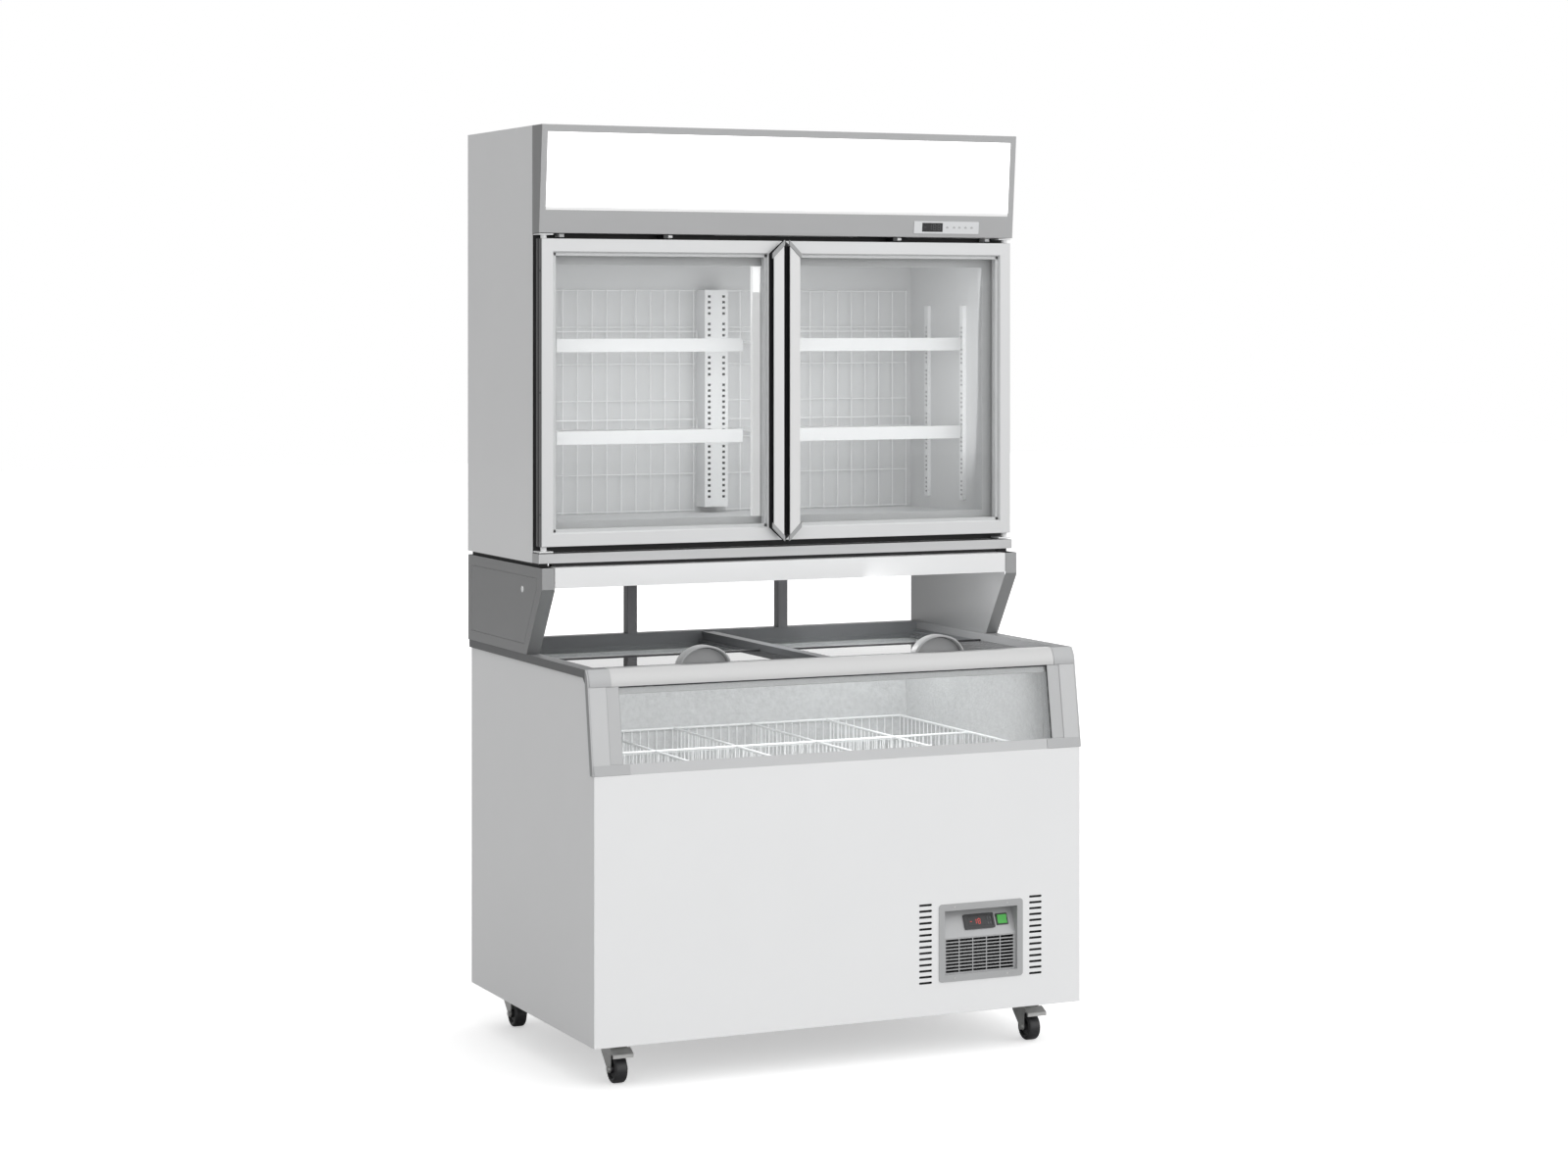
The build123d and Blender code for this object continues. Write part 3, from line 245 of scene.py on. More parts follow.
white_paint = surface("white_paint", (0.84, 0.845, 0.85), 0.33, coat=0.15, spread=0.012, grain=900,
                      bump=0.05, round_edge=0.0012)
inner_white = surface("inner_white", (0.66, 0.665, 0.67), 0.45, spread=0.02, grain=500, bump=0.08)
post_white = surface("post_white", (0.80, 0.805, 0.81), 0.42, spread=0.02, grain=500, bump=0.08)
silver_paint = surface("silver_paint", (0.36, 0.363, 0.367), 0.40, metallic=0.85, spread=0.03, grain=1500,
                       bump=0.06, round_edge=0.0012)
header_paint = surface("header_paint", (0.45, 0.453, 0.457), 0.42, metallic=0.7, spread=0.03, grain=1500,
                       bump=0.06, round_edge=0.0012)
sill_paint = surface("sill_paint", (0.56, 0.563, 0.567), 0.42, metallic=0.5, spread=0.03, grain=1500,
                     bump=0.06, round_edge=0.0008)
# The edge trims' dark grey is painted shade on their side faces; the pieces in front get the lighter frame
# grey.
shaded_trim_paint = surface("shaded_trim_paint", (0.22, 0.223, 0.227), 0.55, metallic=0.6, spread=0.03, grain=1500,
                     bump=0.06, round_edge=0.0010)
lighten_ahead(shaded_trim_paint, -0.372, (0.46, 0.465, 0.47))
anodised = surface("anodised", (0.54, 0.54, 0.54), 0.42, metallic=0.6, spread=0.02, patch=3, grain=160,
                   bump=0.03, stretch=(1, 8, 1), round_edge=0.0008)
door_metal = surface("door_metal", (0.69, 0.695, 0.70), 0.38, metallic=0.25, coat=0.1, spread=0.015,
                     grain=900, bump=0.03)
# Dark copy of the door metal: painted shade on the doors' side faces and on the glass-side faces of the
# inner stile.
door_side_shade = surface("door_side_shade", (0.20, 0.202, 0.205), 0.45, metallic=0.5, spread=0.03, grain=900, bump=0.04)
handle_metal = surface("handle_metal", (0.72, 0.72, 0.72), 0.38, metallic=0.30, spread=0.02, grain=120,
                       bump=0.03, stretch=(12, 12, 1))
window_grey = surface("window_grey", (0.52, 0.525, 0.53), 0.42, metallic=0.3, spread=0.03, grain=900,
                      bump=0.05, round_edge=0.0008)
bead_grey = surface("bead_grey", (0.47, 0.475, 0.48), 0.45, metallic=0.3, spread=0.03, grain=900, bump=0.05)
embossed = stucco("embossed", (0.60, 0.605, 0.61), 0.0060, 0.0012, 0.15, 0.5)
foam = surface("foam", (0.62, 0.62, 0.61), 0.9, spread=0.04, grain=300, bump=0.4, depth=0.001)
rim_plastic = surface("rim_plastic", (0.085, 0.088, 0.092), 0.45, spread=0.08, grain=1200, bump=0.1)
grip_plastic = surface("grip_plastic", (0.36, 0.363, 0.367), 0.40, spread=0.06, grain=1200, bump=0.1)
black_plastic = surface("black_plastic", (0.015, 0.015, 0.017), 0.32, coat=0.2, spread=0.2, grain=1400,
                        bump=0.1)
black_rubber = surface("black_rubber", (0.02, 0.02, 0.021), 0.55, spread=0.2, grain=1800, bump=0.2)
wheel_rubber = surface("wheel_rubber", (0.022, 0.022, 0.024), 0.38, spread=0.25, patch=60, grain=1500,
                       bump=0.15)
white_wire = surface("white_wire", (0.90, 0.905, 0.91), 0.35, spread=0.02, patch=20, grain=600, bump=0.1)
label_white = surface("label_white", (0.56, 0.565, 0.57), 0.35, coat=0.1, spread=0.01, grain=300, bump=0.02)
display_film = surface("display_film", (0.72, 0.73, 0.74), 0.35, spread=0.01, grain=900, bump=0.03)
zinc = surface("zinc", (0.58, 0.58, 0.57), 0.36, metallic=0.8, spread=0.12, patch=90, grain=900, bump=0.15)
compressor_black = surface("compressor_black", (0.02, 0.02, 0.02), 0.3, coat=0.4, spread=0.2, bump=0.1)
# Condenser fins coloured near black: painted shade for the dark seen behind the louvres.
shaded_fins = surface("shaded_fins", (0.035, 0.035, 0.037), 0.5, metallic=0.3, spread=0.1, bump=0.1, stretch=(30, 1, 1))
fan_plastic = surface("fan_plastic", (0.05, 0.05, 0.05), 0.5, spread=0.1, bump=0.1)
grille_paint = surface("grille_paint", (0.44, 0.445, 0.45), 0.42, metallic=0.25, spread=0.03, grain=1300,
                       bump=0.08)
post_metal = surface("post_metal", (0.13, 0.13, 0.135), 0.35, metallic=0.8, spread=0.05, grain=160,
                     bump=0.05, stretch=(8, 8, 1))
window_clear = clear_glass("window_clear", (0.975, 0.98, 0.98), 0.035, 0.8)
door_clear = clear_glass("door_clear", (0.98, 0.982, 0.982), 0.015, 0.15)
lid_clear = clear_glass("lid_clear", (0.955, 0.965, 0.963), 0.02, 1.0)
lower_lid_clear = clear_glass("lower_lid_clear", (0.955, 0.965, 0.963), 0.03, 0.4)
header_glow = glowing("header_glow", (1.0, 1.0, 1.0), 1.1, dim_below=2.0, dim=0.42)
digit_red = glowing("digit_red", (0.55, 0.05, 0.04), 0.6, 0.1)
key_green = surface("key_green", (0.03, 0.42, 0.03), 0.25, coat=0.4, spread=0.15, grain=900, bump=0.05)

by_slot = {
    "white_steel": white_paint,
    "silver_paint": silver_paint,
    "anodised_trim": anodised,
    "window_trim": window_grey,
    "liner_aluminium": embossed,
    "foam": foam,
    "grey_plastic": rim_plastic,
    "lid_edge": black_plastic,
    "clear_glass": window_clear,
    "black_rubber": black_rubber,
    "white_wire": white_wire,
    "label_strip": label_white,
    "light_diffuser": header_glow,
    "display_grey": display_film,
    "black_plastic": black_plastic,
    "green_key": key_green,
    "zinc_steel": zinc,
    "basket_coating": white_wire,
    "wheel_rubber": wheel_rubber,
    "compressor_black": compressor_black,
    "condenser_fins": shaded_fins,
    "fan_plastic": fan_plastic,
}
by_node = {
    "upper_liner": inner_white,
    "shelf_standards": post_white,
    "header_housing": header_paint,
    "sill_rail": sill_paint,
    "edge_trims": shaded_trim_paint,
    "grille_panel": grille_paint,
    "rear_posts": post_metal,
    "lid_handle_left": grip_plastic,
    "lid_handle_right": grip_plastic,
    "door_glass_left": door_clear,
    "door_glass_right": door_clear,
    "front_lid_glass_left": lid_clear,
    "front_lid_glass_right": lid_clear,
    "rear_lid_glass_left": lower_lid_clear,
    "rear_lid_glass_right": lower_lid_clear,
}
for part in frame["record"]["subparts"]:
    node = nodes[part["node"]]
    node.data.materials.clear()
    node.data.materials.append(by_node.get(part["node"]) or by_slot[part["material_slot"]])


# ---- Mesh helpers ----


def piece(name, mesh, material, body, replaces=(), smooth=True):
    """Make an object of a mesh, give it its material and let it ride on a body."""
    obj = bpy.data.objects.new(name, mesh)
    bpy.context.scene.collection.objects.link(obj)
    mesh.materials.append(material)
    for polygon in mesh.polygons:
        polygon.use_smooth = smooth
    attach(obj, body)
    if replaces:
        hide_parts(*replaces)
    return obj


def finished_mesh(name, bm):
    bmesh.ops.recalc_face_normals(bm, faces=bm.faces)
    mesh = bpy.data.meshes.new(name)
    bm.to_mesh(mesh)
    bm.free()
    return mesh


def bar_into(bm, low, high, bevel=0.0008, segments=2):
    """Add a bar with rounded edges between two corners."""
    made = bmesh.ops.create_cube(bm, size=1)
    verts = made["verts"]
    for v in verts:
        v.co = Vector([low[i] if v.co[i] < 0 else high[i] for i in range(3)])
    edges = list({e for v in verts for e in v.link_edges})
    if bevel:
        bmesh.ops.bevel(bm, geom=edges, offset=bevel, segments=segments, affect="EDGES", profile=0.5)


def prism_into(bm, outline, low, high, axis, bevel=0.0):
    """Add a prism: outline points in the two other axes, between two values along an axis."""
    def at(point, value):
        p = list(point)
        p.insert(axis, value)
        return Vector(p)
    bottom = [bm.verts.new(at(p, low)) for p in outline]
    top = [bm.verts.new(at(p, high)) for p in outline]
    count = len(outline)
    faces = [bm.faces.new(bottom[::-1]), bm.faces.new(top)]
    for i in range(count):
        faces.append(bm.faces.new((bottom[i], bottom[(i + 1) % count], top[(i + 1) % count], top[i])))
    if bevel:
        edges = list({e for f in faces for e in f.edges})
        bmesh.ops.bevel(bm, geom=edges, offset=bevel, segments=2, affect="EDGES", profile=0.5)


def lathe_into(bm, profile, centre, axis, steps=48):
    """Add a turned shape. Profile points are (along the axis, radius); a closed loop."""
    others = [i for i in range(3) if i != axis]
    rings = []
    for step in range(steps):
        angle = 2 * math.pi * step / steps
        ring = []
        for along, radius in profile:
            co = Vector(centre)
            co[axis] += along
            co[others[0]] += radius * math.cos(angle)
            co[others[1]] += radius * math.sin(angle)
            ring.append(bm.verts.new(co))
        rings.append(ring)
    count = len(profile)
    for step in range(steps):
        a, b = rings[step], rings[(step + 1) % steps]
        for i in range(count):
            j = (i + 1) % count
            bm.faces.new((a[i], a[j], b[j], b[i]))


def wires(name, paths, radius, material, body, replaces=()):
    """Round wires along straight-sided paths, as one mesh piece."""
    curve = bpy.data.curves.new(name, "CURVE")
    curve.dimensions = "3D"
    curve.bevel_depth = radius
    curve.bevel_resolution = 2
    curve.use_fill_caps = True
    for path in paths:
        spline = curve.splines.new("POLY")
        spline.points.add(len(path) - 1)
        for point, co in zip(spline.points, path):
            point.co = (*co, 1)
    holder = bpy.data.objects.new(name + "_path", curve)
    bpy.context.scene.collection.objects.link(holder)
    bpy.context.view_layer.update()
    mesh = bpy.data.meshes.new_from_object(holder)
    bpy.data.objects.remove(holder)
    return piece(name, mesh, material, body, replaces)


def steps(start, stop, count):
    """Evenly spaced values from start to stop."""
    return [start + (stop - start) * i / (count - 1) for i in range(count)]


def middle(low, high):
    return (Vector(low) + Vector(high)) / 2


# ---- Rack in the chest ----

rack_low, rack_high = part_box("wire_baskets")
rack_half = 0.5325
rim_wire, rack_wire, hook_wire = 0.0030, 0.0014, 0.0018
hook_y = (-0.28, -0.09, 0.10, 0.29)
rack_inset = 0.002
rack_x = steps(-rack_half + rack_inset, rack_half - rack_inset, 6)
rack_y = (rack_low.y + rack_inset, -0.04, rack_high.y - rack_inset)
rack_top = rack_high.z - 0.003
rack_floor = rack_low.z + rack_inset
rim_paths = []
for x in rack_x:
    rim_paths.append([(x, rack_y[0], rack_top), (x, rack_y[2], rack_top)])
for y in rack_y:
    rim_paths.append([(rack_x[0], y, rack_top), (rack_x[-1], y, rack_top)])
wires("rack_rims", rim_paths, rim_wire, white_wire, "cabinet", ["wire_baskets"])

fine_paths = []
column_x = steps(rack_x[0], rack_x[-1], 49)
row_y = steps(rack_y[0], rack_y[2], 32)
for x in column_x:
    fine_paths.append([(x, rack_y[0], rack_top), (x, rack_y[0], rack_floor),
                       (x, rack_y[2], rack_floor), (x, rack_y[2], rack_top)])
for y in row_y:
    fine_paths.append([(rack_x[0], y, rack_top), (rack_x[0], y, rack_floor),
                       (rack_x[-1], y, rack_floor), (rack_x[-1], y, rack_top)])
for x in rack_x[1:-1]:
    for y in row_y[1:-1]:
        fine_paths.append([(x, y, rack_top), (x, y, rack_floor)])
for x in column_x[1:-1]:
    fine_paths.append([(x, rack_y[1], rack_top), (x, rack_y[1], rack_floor)])
for z in steps(rack_floor, rack_top, 5)[1:-1]:
    fine_paths.append([(rack_x[0], rack_y[0], z), (rack_x[-1], rack_y[0], z), (rack_x[-1], rack_y[2], z),
                       (rack_x[0], rack_y[2], z), (rack_x[0], rack_y[0], z)])
wires("rack_wires", fine_paths, rack_wire, white_wire, "cabinet", ["wire_baskets"])

hooks = []
for _, side in SIDES:
    for y in hook_y:
        for shift in (-0.012, 0.012):
            inner = side * (rack_half - 0.003)
            outer = side * (rack_half + 0.018)
            hooks.append([(inner, y + shift, rack_top - 0.002), (outer, y + shift, rack_top - 0.006)])
wires("rack_hooks", hooks, hook_wire, white_wire, "cabinet", ["wire_baskets"])


# ---- Guards and shelves in the upper cabinet ----

guard_low, guard_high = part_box("wire_guards")
guard_y = guard_low.y + 0.0015
guard_wire = 0.0013
guard_span = (0.0395, 0.5625)
guard_middle = (0.301, 1.5315)
guard_rail_pitch, guard_bar_pitch = 0.0925, 0.0394
guard_foot = 4.5 * guard_bar_pitch
guard_paths = []
for _, side in SIDES:
    xs = sorted(side * x for x in guard_span)
    for z in [guard_middle[1] + guard_rail_pitch * k for k in range(-3, 4)]:
        guard_paths.append([(xs[0], guard_y + 0.002, z), (xs[1], guard_y + 0.002, z)])
    middle_x = side * guard_middle[0]
    for x in [middle_x + guard_bar_pitch * (k - 6.5) for k in range(14)]:
        guard_paths.append([(x, guard_y, guard_low.z), (x, guard_y, guard_high.z)])
    for x in (middle_x - guard_foot, middle_x + guard_foot):
        for z in (1.254, 1.809):
            guard_paths.append([(x, guard_y, z), (x, guard_high.y, z)])
wires("guard_wires", guard_paths, guard_wire, white_wire, "cabinet", ["wire_guards"])

shelf_low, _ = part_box("wire_shelves")
shelf_back = 0.360
shelf_inner, shelf_outer = 0.038, 0.566
shelf_levels = (1.684, 1.462)
frame_wire, bar_wire = 0.0019, 0.0011
rail_y = (0.082, 0.276)  # wall rails that carry the shelves
rail_face = 0.5705
frame_y = (shelf_low.y + 0.003, shelf_back - 0.002)
bar_y = (shelf_low.y + 0.002, shelf_back - 0.001)
fine_paths, heavy_paths = [], []
for level in shelf_levels:
    frame_z = level - 0.0045
    bar_z = level - 0.0012
    for _, side in SIDES:
        xs = sorted((side * shelf_inner, side * shelf_outer))
        ends = (xs[0] + 0.002, xs[1] - 0.002)
        for y in steps(*frame_y, 4):
            heavy_paths.append([(xs[0], y, frame_z), (xs[1], y, frame_z)])
        for x in ends:
            heavy_paths.append([(x, frame_y[0], frame_z), (x, frame_y[1], frame_z)])
        for x in steps(*ends, 35):
            fine_paths.append([(x, bar_y[0], bar_z), (x, bar_y[1], bar_z)])
        # Low fence at the back of the shelf.
        fence = level + 0.022
        heavy_paths.append([(ends[0], frame_y[1], level), (ends[0], frame_y[1], fence),
                            (ends[1], frame_y[1], fence), (ends[1], frame_y[1], level)])
        for y in rail_y:
            arm = sorted((side * shelf_outer, side * rail_face))
            heavy_paths.append([(arm[0], y, level - 0.0025), (arm[1], y, level - 0.0025)])
wires("shelf_frames", heavy_paths, frame_wire, white_wire, "cabinet", ["wire_shelves"])
wires("shelf_bars", fine_paths, bar_wire, white_wire, "cabinet", ["wire_shelves"])

# Slotted cover on the centre post: bars around two columns of slots, with a dark strip behind them as
# painted shade in the slots.
post_low, post_high = 1.2645, 1.8095
post_half = 0.0318
slot_z = [1.7943 - 0.0143 * row for row in (0, 1, 2, 3, 4.85, 5.85, 6.85, 7.85, 10.75, 11.75, 12.75, 13.75)]
slot_z += [1.5710 - 0.0141 * row for row in range(21)]
slot_half = (0.0039, 0.0031)
cover_y = (0.3252, 0.3260)
post_slot_x = (-0.0198, 0.0198)
bm = bmesh.new()
for x0, x1 in ((-post_half, post_slot_x[0] - slot_half[0]),
               (post_slot_x[0] + slot_half[0], post_slot_x[1] - slot_half[0]),
               (post_slot_x[1] + slot_half[0], post_half)):
    bar_into(bm, (x0, cover_y[0], post_low), (x1, cover_y[1], post_high), 0)
edges_z = [post_high] + [z + sign * slot_half[1] for z in slot_z for sign in (1, -1)] + [post_low]
for x in post_slot_x:
    for top, bottom in zip(edges_z[::2], edges_z[1::2]):
        bar_into(bm, (x - slot_half[0], cover_y[0], bottom), (x + slot_half[0], cover_y[1], top), 0)
piece("post_cover", finished_mesh("post_cover", bm), post_white, "cabinet", smooth=False)
# Black plates behind the slots are painted shade: they stand in for the dark inside of the slots.
bm = bmesh.new()
for x in post_slot_x:
    bar_into(bm, (x - 0.0045, 0.32595, post_low + 0.02), (x + 0.0045, 0.3264, post_high - 0.008), 0)
# Painted shade at the bottoms of the slots in the wall rails.
rail_slot_pitch = 0.0111
first_rail_group = 1.3099
for _, side in SIDES:
    for y in rail_y:
        for group in range(8):
            for row in range(4):
                z = first_rail_group + rail_slot_pitch * (5 * group + row - 1.5)
                near, far = sorted((side * 0.5712, side * 0.5709))
                bar_into(bm, (near, y - 0.0038, z - 0.0022), (far, y + 0.0038, z + 0.0022), 0)
piece("slot_shade_plates", finished_mesh("slot_shade", bm), black_plastic, "cabinet", smooth=False)


# ---- Doors ----

# Dark strip on the body behind the doors, outside and between the gaskets: a dark breaker strip, and also
# painted shadow along the underside of the header.
strip_y = (-0.03340, -0.03305)
body_edge = 0.627
seal_edge = 0.6146
seal_low, seal_high = 1.2088, 1.9218
bm = bmesh.new()
for x0, x1, z0, z1 in (
    (-body_edge, body_edge, seal_high, 1.9384), (-body_edge, body_edge, 1.1884, seal_low),
    (-body_edge, -seal_edge, seal_low, seal_high), (seal_edge, body_edge, seal_low, seal_high),
    (-0.0095, 0.0095, seal_low, seal_high),
):
    bar_into(bm, (x0, strip_y[0], z0), (x1, strip_y[1], z1), 0)
# Dark facings on the mullion beside the centre are painted shade: the mullion itself is white.
mullion_shade_low, mullion_shade_high = 1.2610, 1.8700
for _, side in SIDES:
    near, far = sorted((side * 0.0260, side * 0.0389))
    bar_into(bm, (near, strip_y[0], mullion_shade_low), (far, strip_y[1], mullion_shade_high), 0)
piece("body_strip_and_mullion_shade", finished_mesh("strip_and_mullion_shade", bm), black_rubber, "cabinet",
      smooth=False)

# White bushes on the hinge pins.
pin_x, pin_y = 0.6125, -0.065
bm = bmesh.new()
for _, side in SIDES:
    for z0, z1 in ((1.1936, 1.2042), (1.9264, 1.9344)):
        half = (z1 - z0) / 2
        ring = [(-half, 0.0051), (-half, 0.0068), (-half + 0.0005, 0.0073), (half - 0.0005, 0.0073),
                (half, 0.0068), (half, 0.0051)]
        lathe_into(bm, ring, (side * pin_x, pin_y, (z0 + z1) / 2), 2, 24)
piece("hinge_bushes", finished_mesh("bushes", bm), white_wire, "cabinet", smooth=False)

# A catch over the middle of each door: black body and white roller.
catch_x = (-0.305, 0.305)
bm = bmesh.new()
for x in catch_x:
    bar_into(bm, (x - 0.007, -0.075, 1.9285), (x + 0.005, -0.034, 1.9382), 0.0008)
piece("catch_bodies", finished_mesh("catch_bodies", bm), black_plastic, "cabinet",
      smooth=False)
roller = [(-0.006, 0.0012), (-0.006, 0.0034), (-0.005, 0.0040), (0.005, 0.0040), (0.006, 0.0034),
          (0.006, 0.0012)]
bm = bmesh.new()
for x in catch_x:
    lathe_into(bm, roller, (x + 0.0115, -0.068, 1.9335), 0, 20)
piece("catch_rollers", finished_mesh("catch_rollers", bm), white_wire, "cabinet", smooth=False)

PLATE_FRONT = -0.100
door_near, door_far = 0.004, 0.6225
glass_far = 0.593
stile = 0.035
rail = 0.031
spacer = 0.009
for name, side in SIDES:
    body = f"door_{name}"
    low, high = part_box(f"door_frame_{name}")
    near = side * door_near
    far = side * door_far
    inner_near = side * (door_near + stile)
    inner_far = side * glass_far
    inner_z = (low.z + rail, high.z - rail)
    # Profile: (0 at the outer edge to 1 at the glass, Y).
    profile = [
        (0.00, low.y + 0.0012), (0.03, low.y), (0.955, low.y), (1.00, low.y + 0.0012),
        (1.00, low.y + 0.0045), (1.06, low.y + 0.0055), (1.06, low.y + 0.0085), (1.00, low.y + 0.0095),
        (1.00, high.y - 0.001), (0.97, high.y), (0.03, high.y), (0.00, high.y - 0.001),
        (0.00, low.y + 0.026), (0.10, low.y + 0.026), (0.10, low.y + 0.021), (0.00, low.y + 0.021),
    ]
    front_faces, groove_faces, side_faces, inner_faces = (0, 1, 2), (12, 13, 14), (11, 15), (6, 7, 8)
    bm = bmesh.new()
    rings = []
    for x0, x1, z0, z1 in (
        (near, inner_near, low.z, inner_z[0]), (far, inner_far, low.z, inner_z[0]),
        (far, inner_far, high.z, inner_z[1]), (near, inner_near, high.z, inner_z[1]),
    ):
        ring = []
        for t, y in profile:
            ring.append(bm.verts.new((x0 + (x1 - x0) * t, y, z0 + (z1 - z0) * t)))
        rings.append(ring)
    for i in range(4):
        a, b = rings[i], rings[(i + 1) % 4]
        for j in range(len(profile)):
            k = (j + 1) % len(profile)
            face = bm.faces.new((a[j], a[k], b[k], b[j]))
            # Index 1 is black: the groove and the inner stile. Index 2 is painted shade on the side faces.
            if j in groove_faces or (i == 3 and j in front_faces + side_faces):
                face.material_index = 1
            elif j in side_faces or (i == 3 and j in inner_faces):
                face.material_index = 2
    surround = piece(f"door_surround_{name}", finished_mesh("surround", bm), door_metal, body,
                     [f"door_frame_{name}"], smooth=False)
    surround.data.materials.append(black_plastic)
    surround.data.materials.append(door_side_shade)

    # Screws in the outer edge.
    bm = bmesh.new()
    for z in (high.z - 0.075, (high.z + low.z) / 2, low.z + 0.075):
        head = [
            (-side * 0.0002, 0.0), (side * 0.0006, 0.0004), (side * 0.0008, 0.0020),
            (side * 0.0004, 0.0026), (-side * 0.0002, 0.0026),
        ]
        lathe_into(bm, head, (far, low.y + 0.0115, z), 0, 20)
    bmesh.ops.remove_doubles(bm, verts=bm.verts, dist=0.00001)
    piece(f"edge_screws_{name}", finished_mesh("edge_screws", bm), black_plastic, body)

    # Spacer between the panes.
    pane_gap = (low.y + 0.0085, low.y + 0.0255)
    reach = sorted((inner_near, inner_far))
    bm = bmesh.new()
    for x0, x1 in ((reach[0], reach[0] + spacer), (reach[1] - spacer, reach[1])):
        bar_into(bm, (x0, pane_gap[0], inner_z[0]), (x1, pane_gap[1], inner_z[1]), 0.0005)
    for z0, z1 in ((inner_z[0], inner_z[0] + spacer), (inner_z[1] - spacer, inner_z[1])):
        bar_into(bm, (reach[0], pane_gap[0], z0), (reach[1], pane_gap[1], z1), 0.0005)
    piece(f"door_spacer_{name}", finished_mesh("spacer", bm), door_metal, body,
          [f"door_frame_{name}"], smooth=False)

    # Grip: plate cut at 45 degrees, black web behind it, and a grey cap at each end.
    plate_near, plate_far = side * 0.0077, side * 0.0348
    drop = 0.0271
    cap = 0.013
    cap_near, cap_far = side * 0.0058, side * 0.0383
    cap_drop = 0.0325
    bm = bmesh.new()
    outline = [
        (plate_near, high.z - cap), (plate_far, high.z - drop - cap),
        (plate_far, low.z + drop + cap), (plate_near, low.z + cap),
    ]
    prism_into(bm, outline, PLATE_FRONT, PLATE_FRONT + 0.003, 1, 0.0007)
    piece(f"door_grip_{name}", finished_mesh("grip", bm), handle_metal, body,
          [f"door_handle_{name}"], smooth=False)
    bm = bmesh.new()
    for start, step in ((high.z + 0.002, -1), (low.z - 0.002, 1)):
        outline = [
            (cap_near, start), (cap_far, start + step * cap_drop),
            (cap_far, start + step * (cap_drop + cap)), (cap_near, start + step * cap),
        ]
        prism_into(bm, outline, PLATE_FRONT - 0.0012, PLATE_FRONT + 0.0042, 1, 0.0005)
    piece(f"grip_caps_{name}", finished_mesh("caps", bm), grip_plastic, body,
          [f"door_handle_{name}"], smooth=False)
    bm = bmesh.new()
    web = sorted((side * 0.0077, side * 0.0112))
    bar_into(bm, (web[0], PLATE_FRONT + 0.0031, low.z + cap), (web[1], low.y - 0.0002, high.z - cap), 0.0004)
    inner_edge = sorted((side * 0.0036, side * 0.0045))
    bar_into(bm, (inner_edge[0], low.y - 0.0008, low.z + 0.004),
             (inner_edge[1], high.y, high.z - 0.004), 0.0002)
    piece(f"grip_channel_{name}", finished_mesh("channel", bm), black_plastic, body,
          smooth=False)


# ---- Lids ----

for name, side in SIDES:
    body = f"front_lid_{name}"
    low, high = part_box(f"lid_handle_{name}")
    centre_x = (low.x + high.x) / 2
    half = (high.x - low.x) / 2
    height = high.z - low.z
    bm = bmesh.new()
    rows = []
    # Half-moon shell: rounded outer band, a raised rim and a set-back face.
    section = [
        (1.0, high.y), (1.0, low.y + 0.003), (0.985, low.y + 0.0008), (0.95, low.y), (0.925, low.y),
        (0.905, low.y + 0.0010), (0.895, low.y + 0.004), (0.885, low.y + 0.0125), (0.865, low.y + 0.0130),
    ]
    arc = 40
    for i in range(arc + 1):
        angle = math.pi * i / arc
        row = []
        for scale, y in section:
            row.append(bm.verts.new((centre_x + half * scale * math.cos(angle), y,
                                     low.z + height * scale * math.sin(angle))))
        rows.append(row)
    for a, b in zip(rows, rows[1:]):
        for j in range(len(section) - 1):
            bm.faces.new((a[j], a[j + 1], b[j + 1], b[j]))
    bm.faces.new([row[-1] for row in rows])
    bm.faces.new([row[0] for row in rows][::-1])
    bm.faces.new(rows[0] + rows[-1][::-1])
    piece(f"lid_grip_{name}", finished_mesh("lid_grip", bm), grip_plastic, body,
          [f"lid_handle_{name}"])
    # Dark joint around the set-back face, and a light bead along its foot.
    joint_y = (low.y + 0.0110, low.y + 0.0126)
    joint = [(0.893, joint_y[0]), (0.860, joint_y[0]), (0.860, joint_y[1]), (0.893, joint_y[1])]
    foot = 0.0045
    bm = bmesh.new()
    arcs = []
    for i in range(arc + 1):
        angle = math.pi * i / arc
        row = []
        for scale, y in joint:
            row.append(bm.verts.new((centre_x + half * scale * math.cos(angle), y,
                                     low.z + foot + (height * scale - foot) * math.sin(angle))))
        arcs.append(row)
    for a, b in zip(arcs, arcs[1:]):
        for j in range(4):
            bm.faces.new((a[j], a[(j + 1) % 4], b[(j + 1) % 4], b[j]))
    bm.faces.new(arcs[0])
    bm.faces.new(arcs[-1][::-1])
    piece(f"lid_grip_joint_{name}", finished_mesh("lid_grip_joint", bm), black_plastic, body,
          smooth=False)
    bm = bmesh.new()
    bar_into(bm, (centre_x - half * 0.84, low.y + 0.0085, low.z + foot),
             (centre_x + half * 0.84, low.y + 0.0124, low.z + 0.0075), 0.0006)
    piece(f"lid_grip_bead_{name}", finished_mesh("lid_grip_bead", bm), white_wire, body,
          smooth=False)
    # Foot bead that seats the grip on the glass.
    bm = bmesh.new()
    bar_into(bm, (low.x - 0.001, low.y - 0.0015, low.z), (high.x + 0.001, high.y + 0.001, low.z + 0.0035),
             0.0012, 3)
    piece(f"lid_grip_foot_{name}", finished_mesh("lid_grip_foot", bm), grip_plastic, body)


# ---- Casters ----

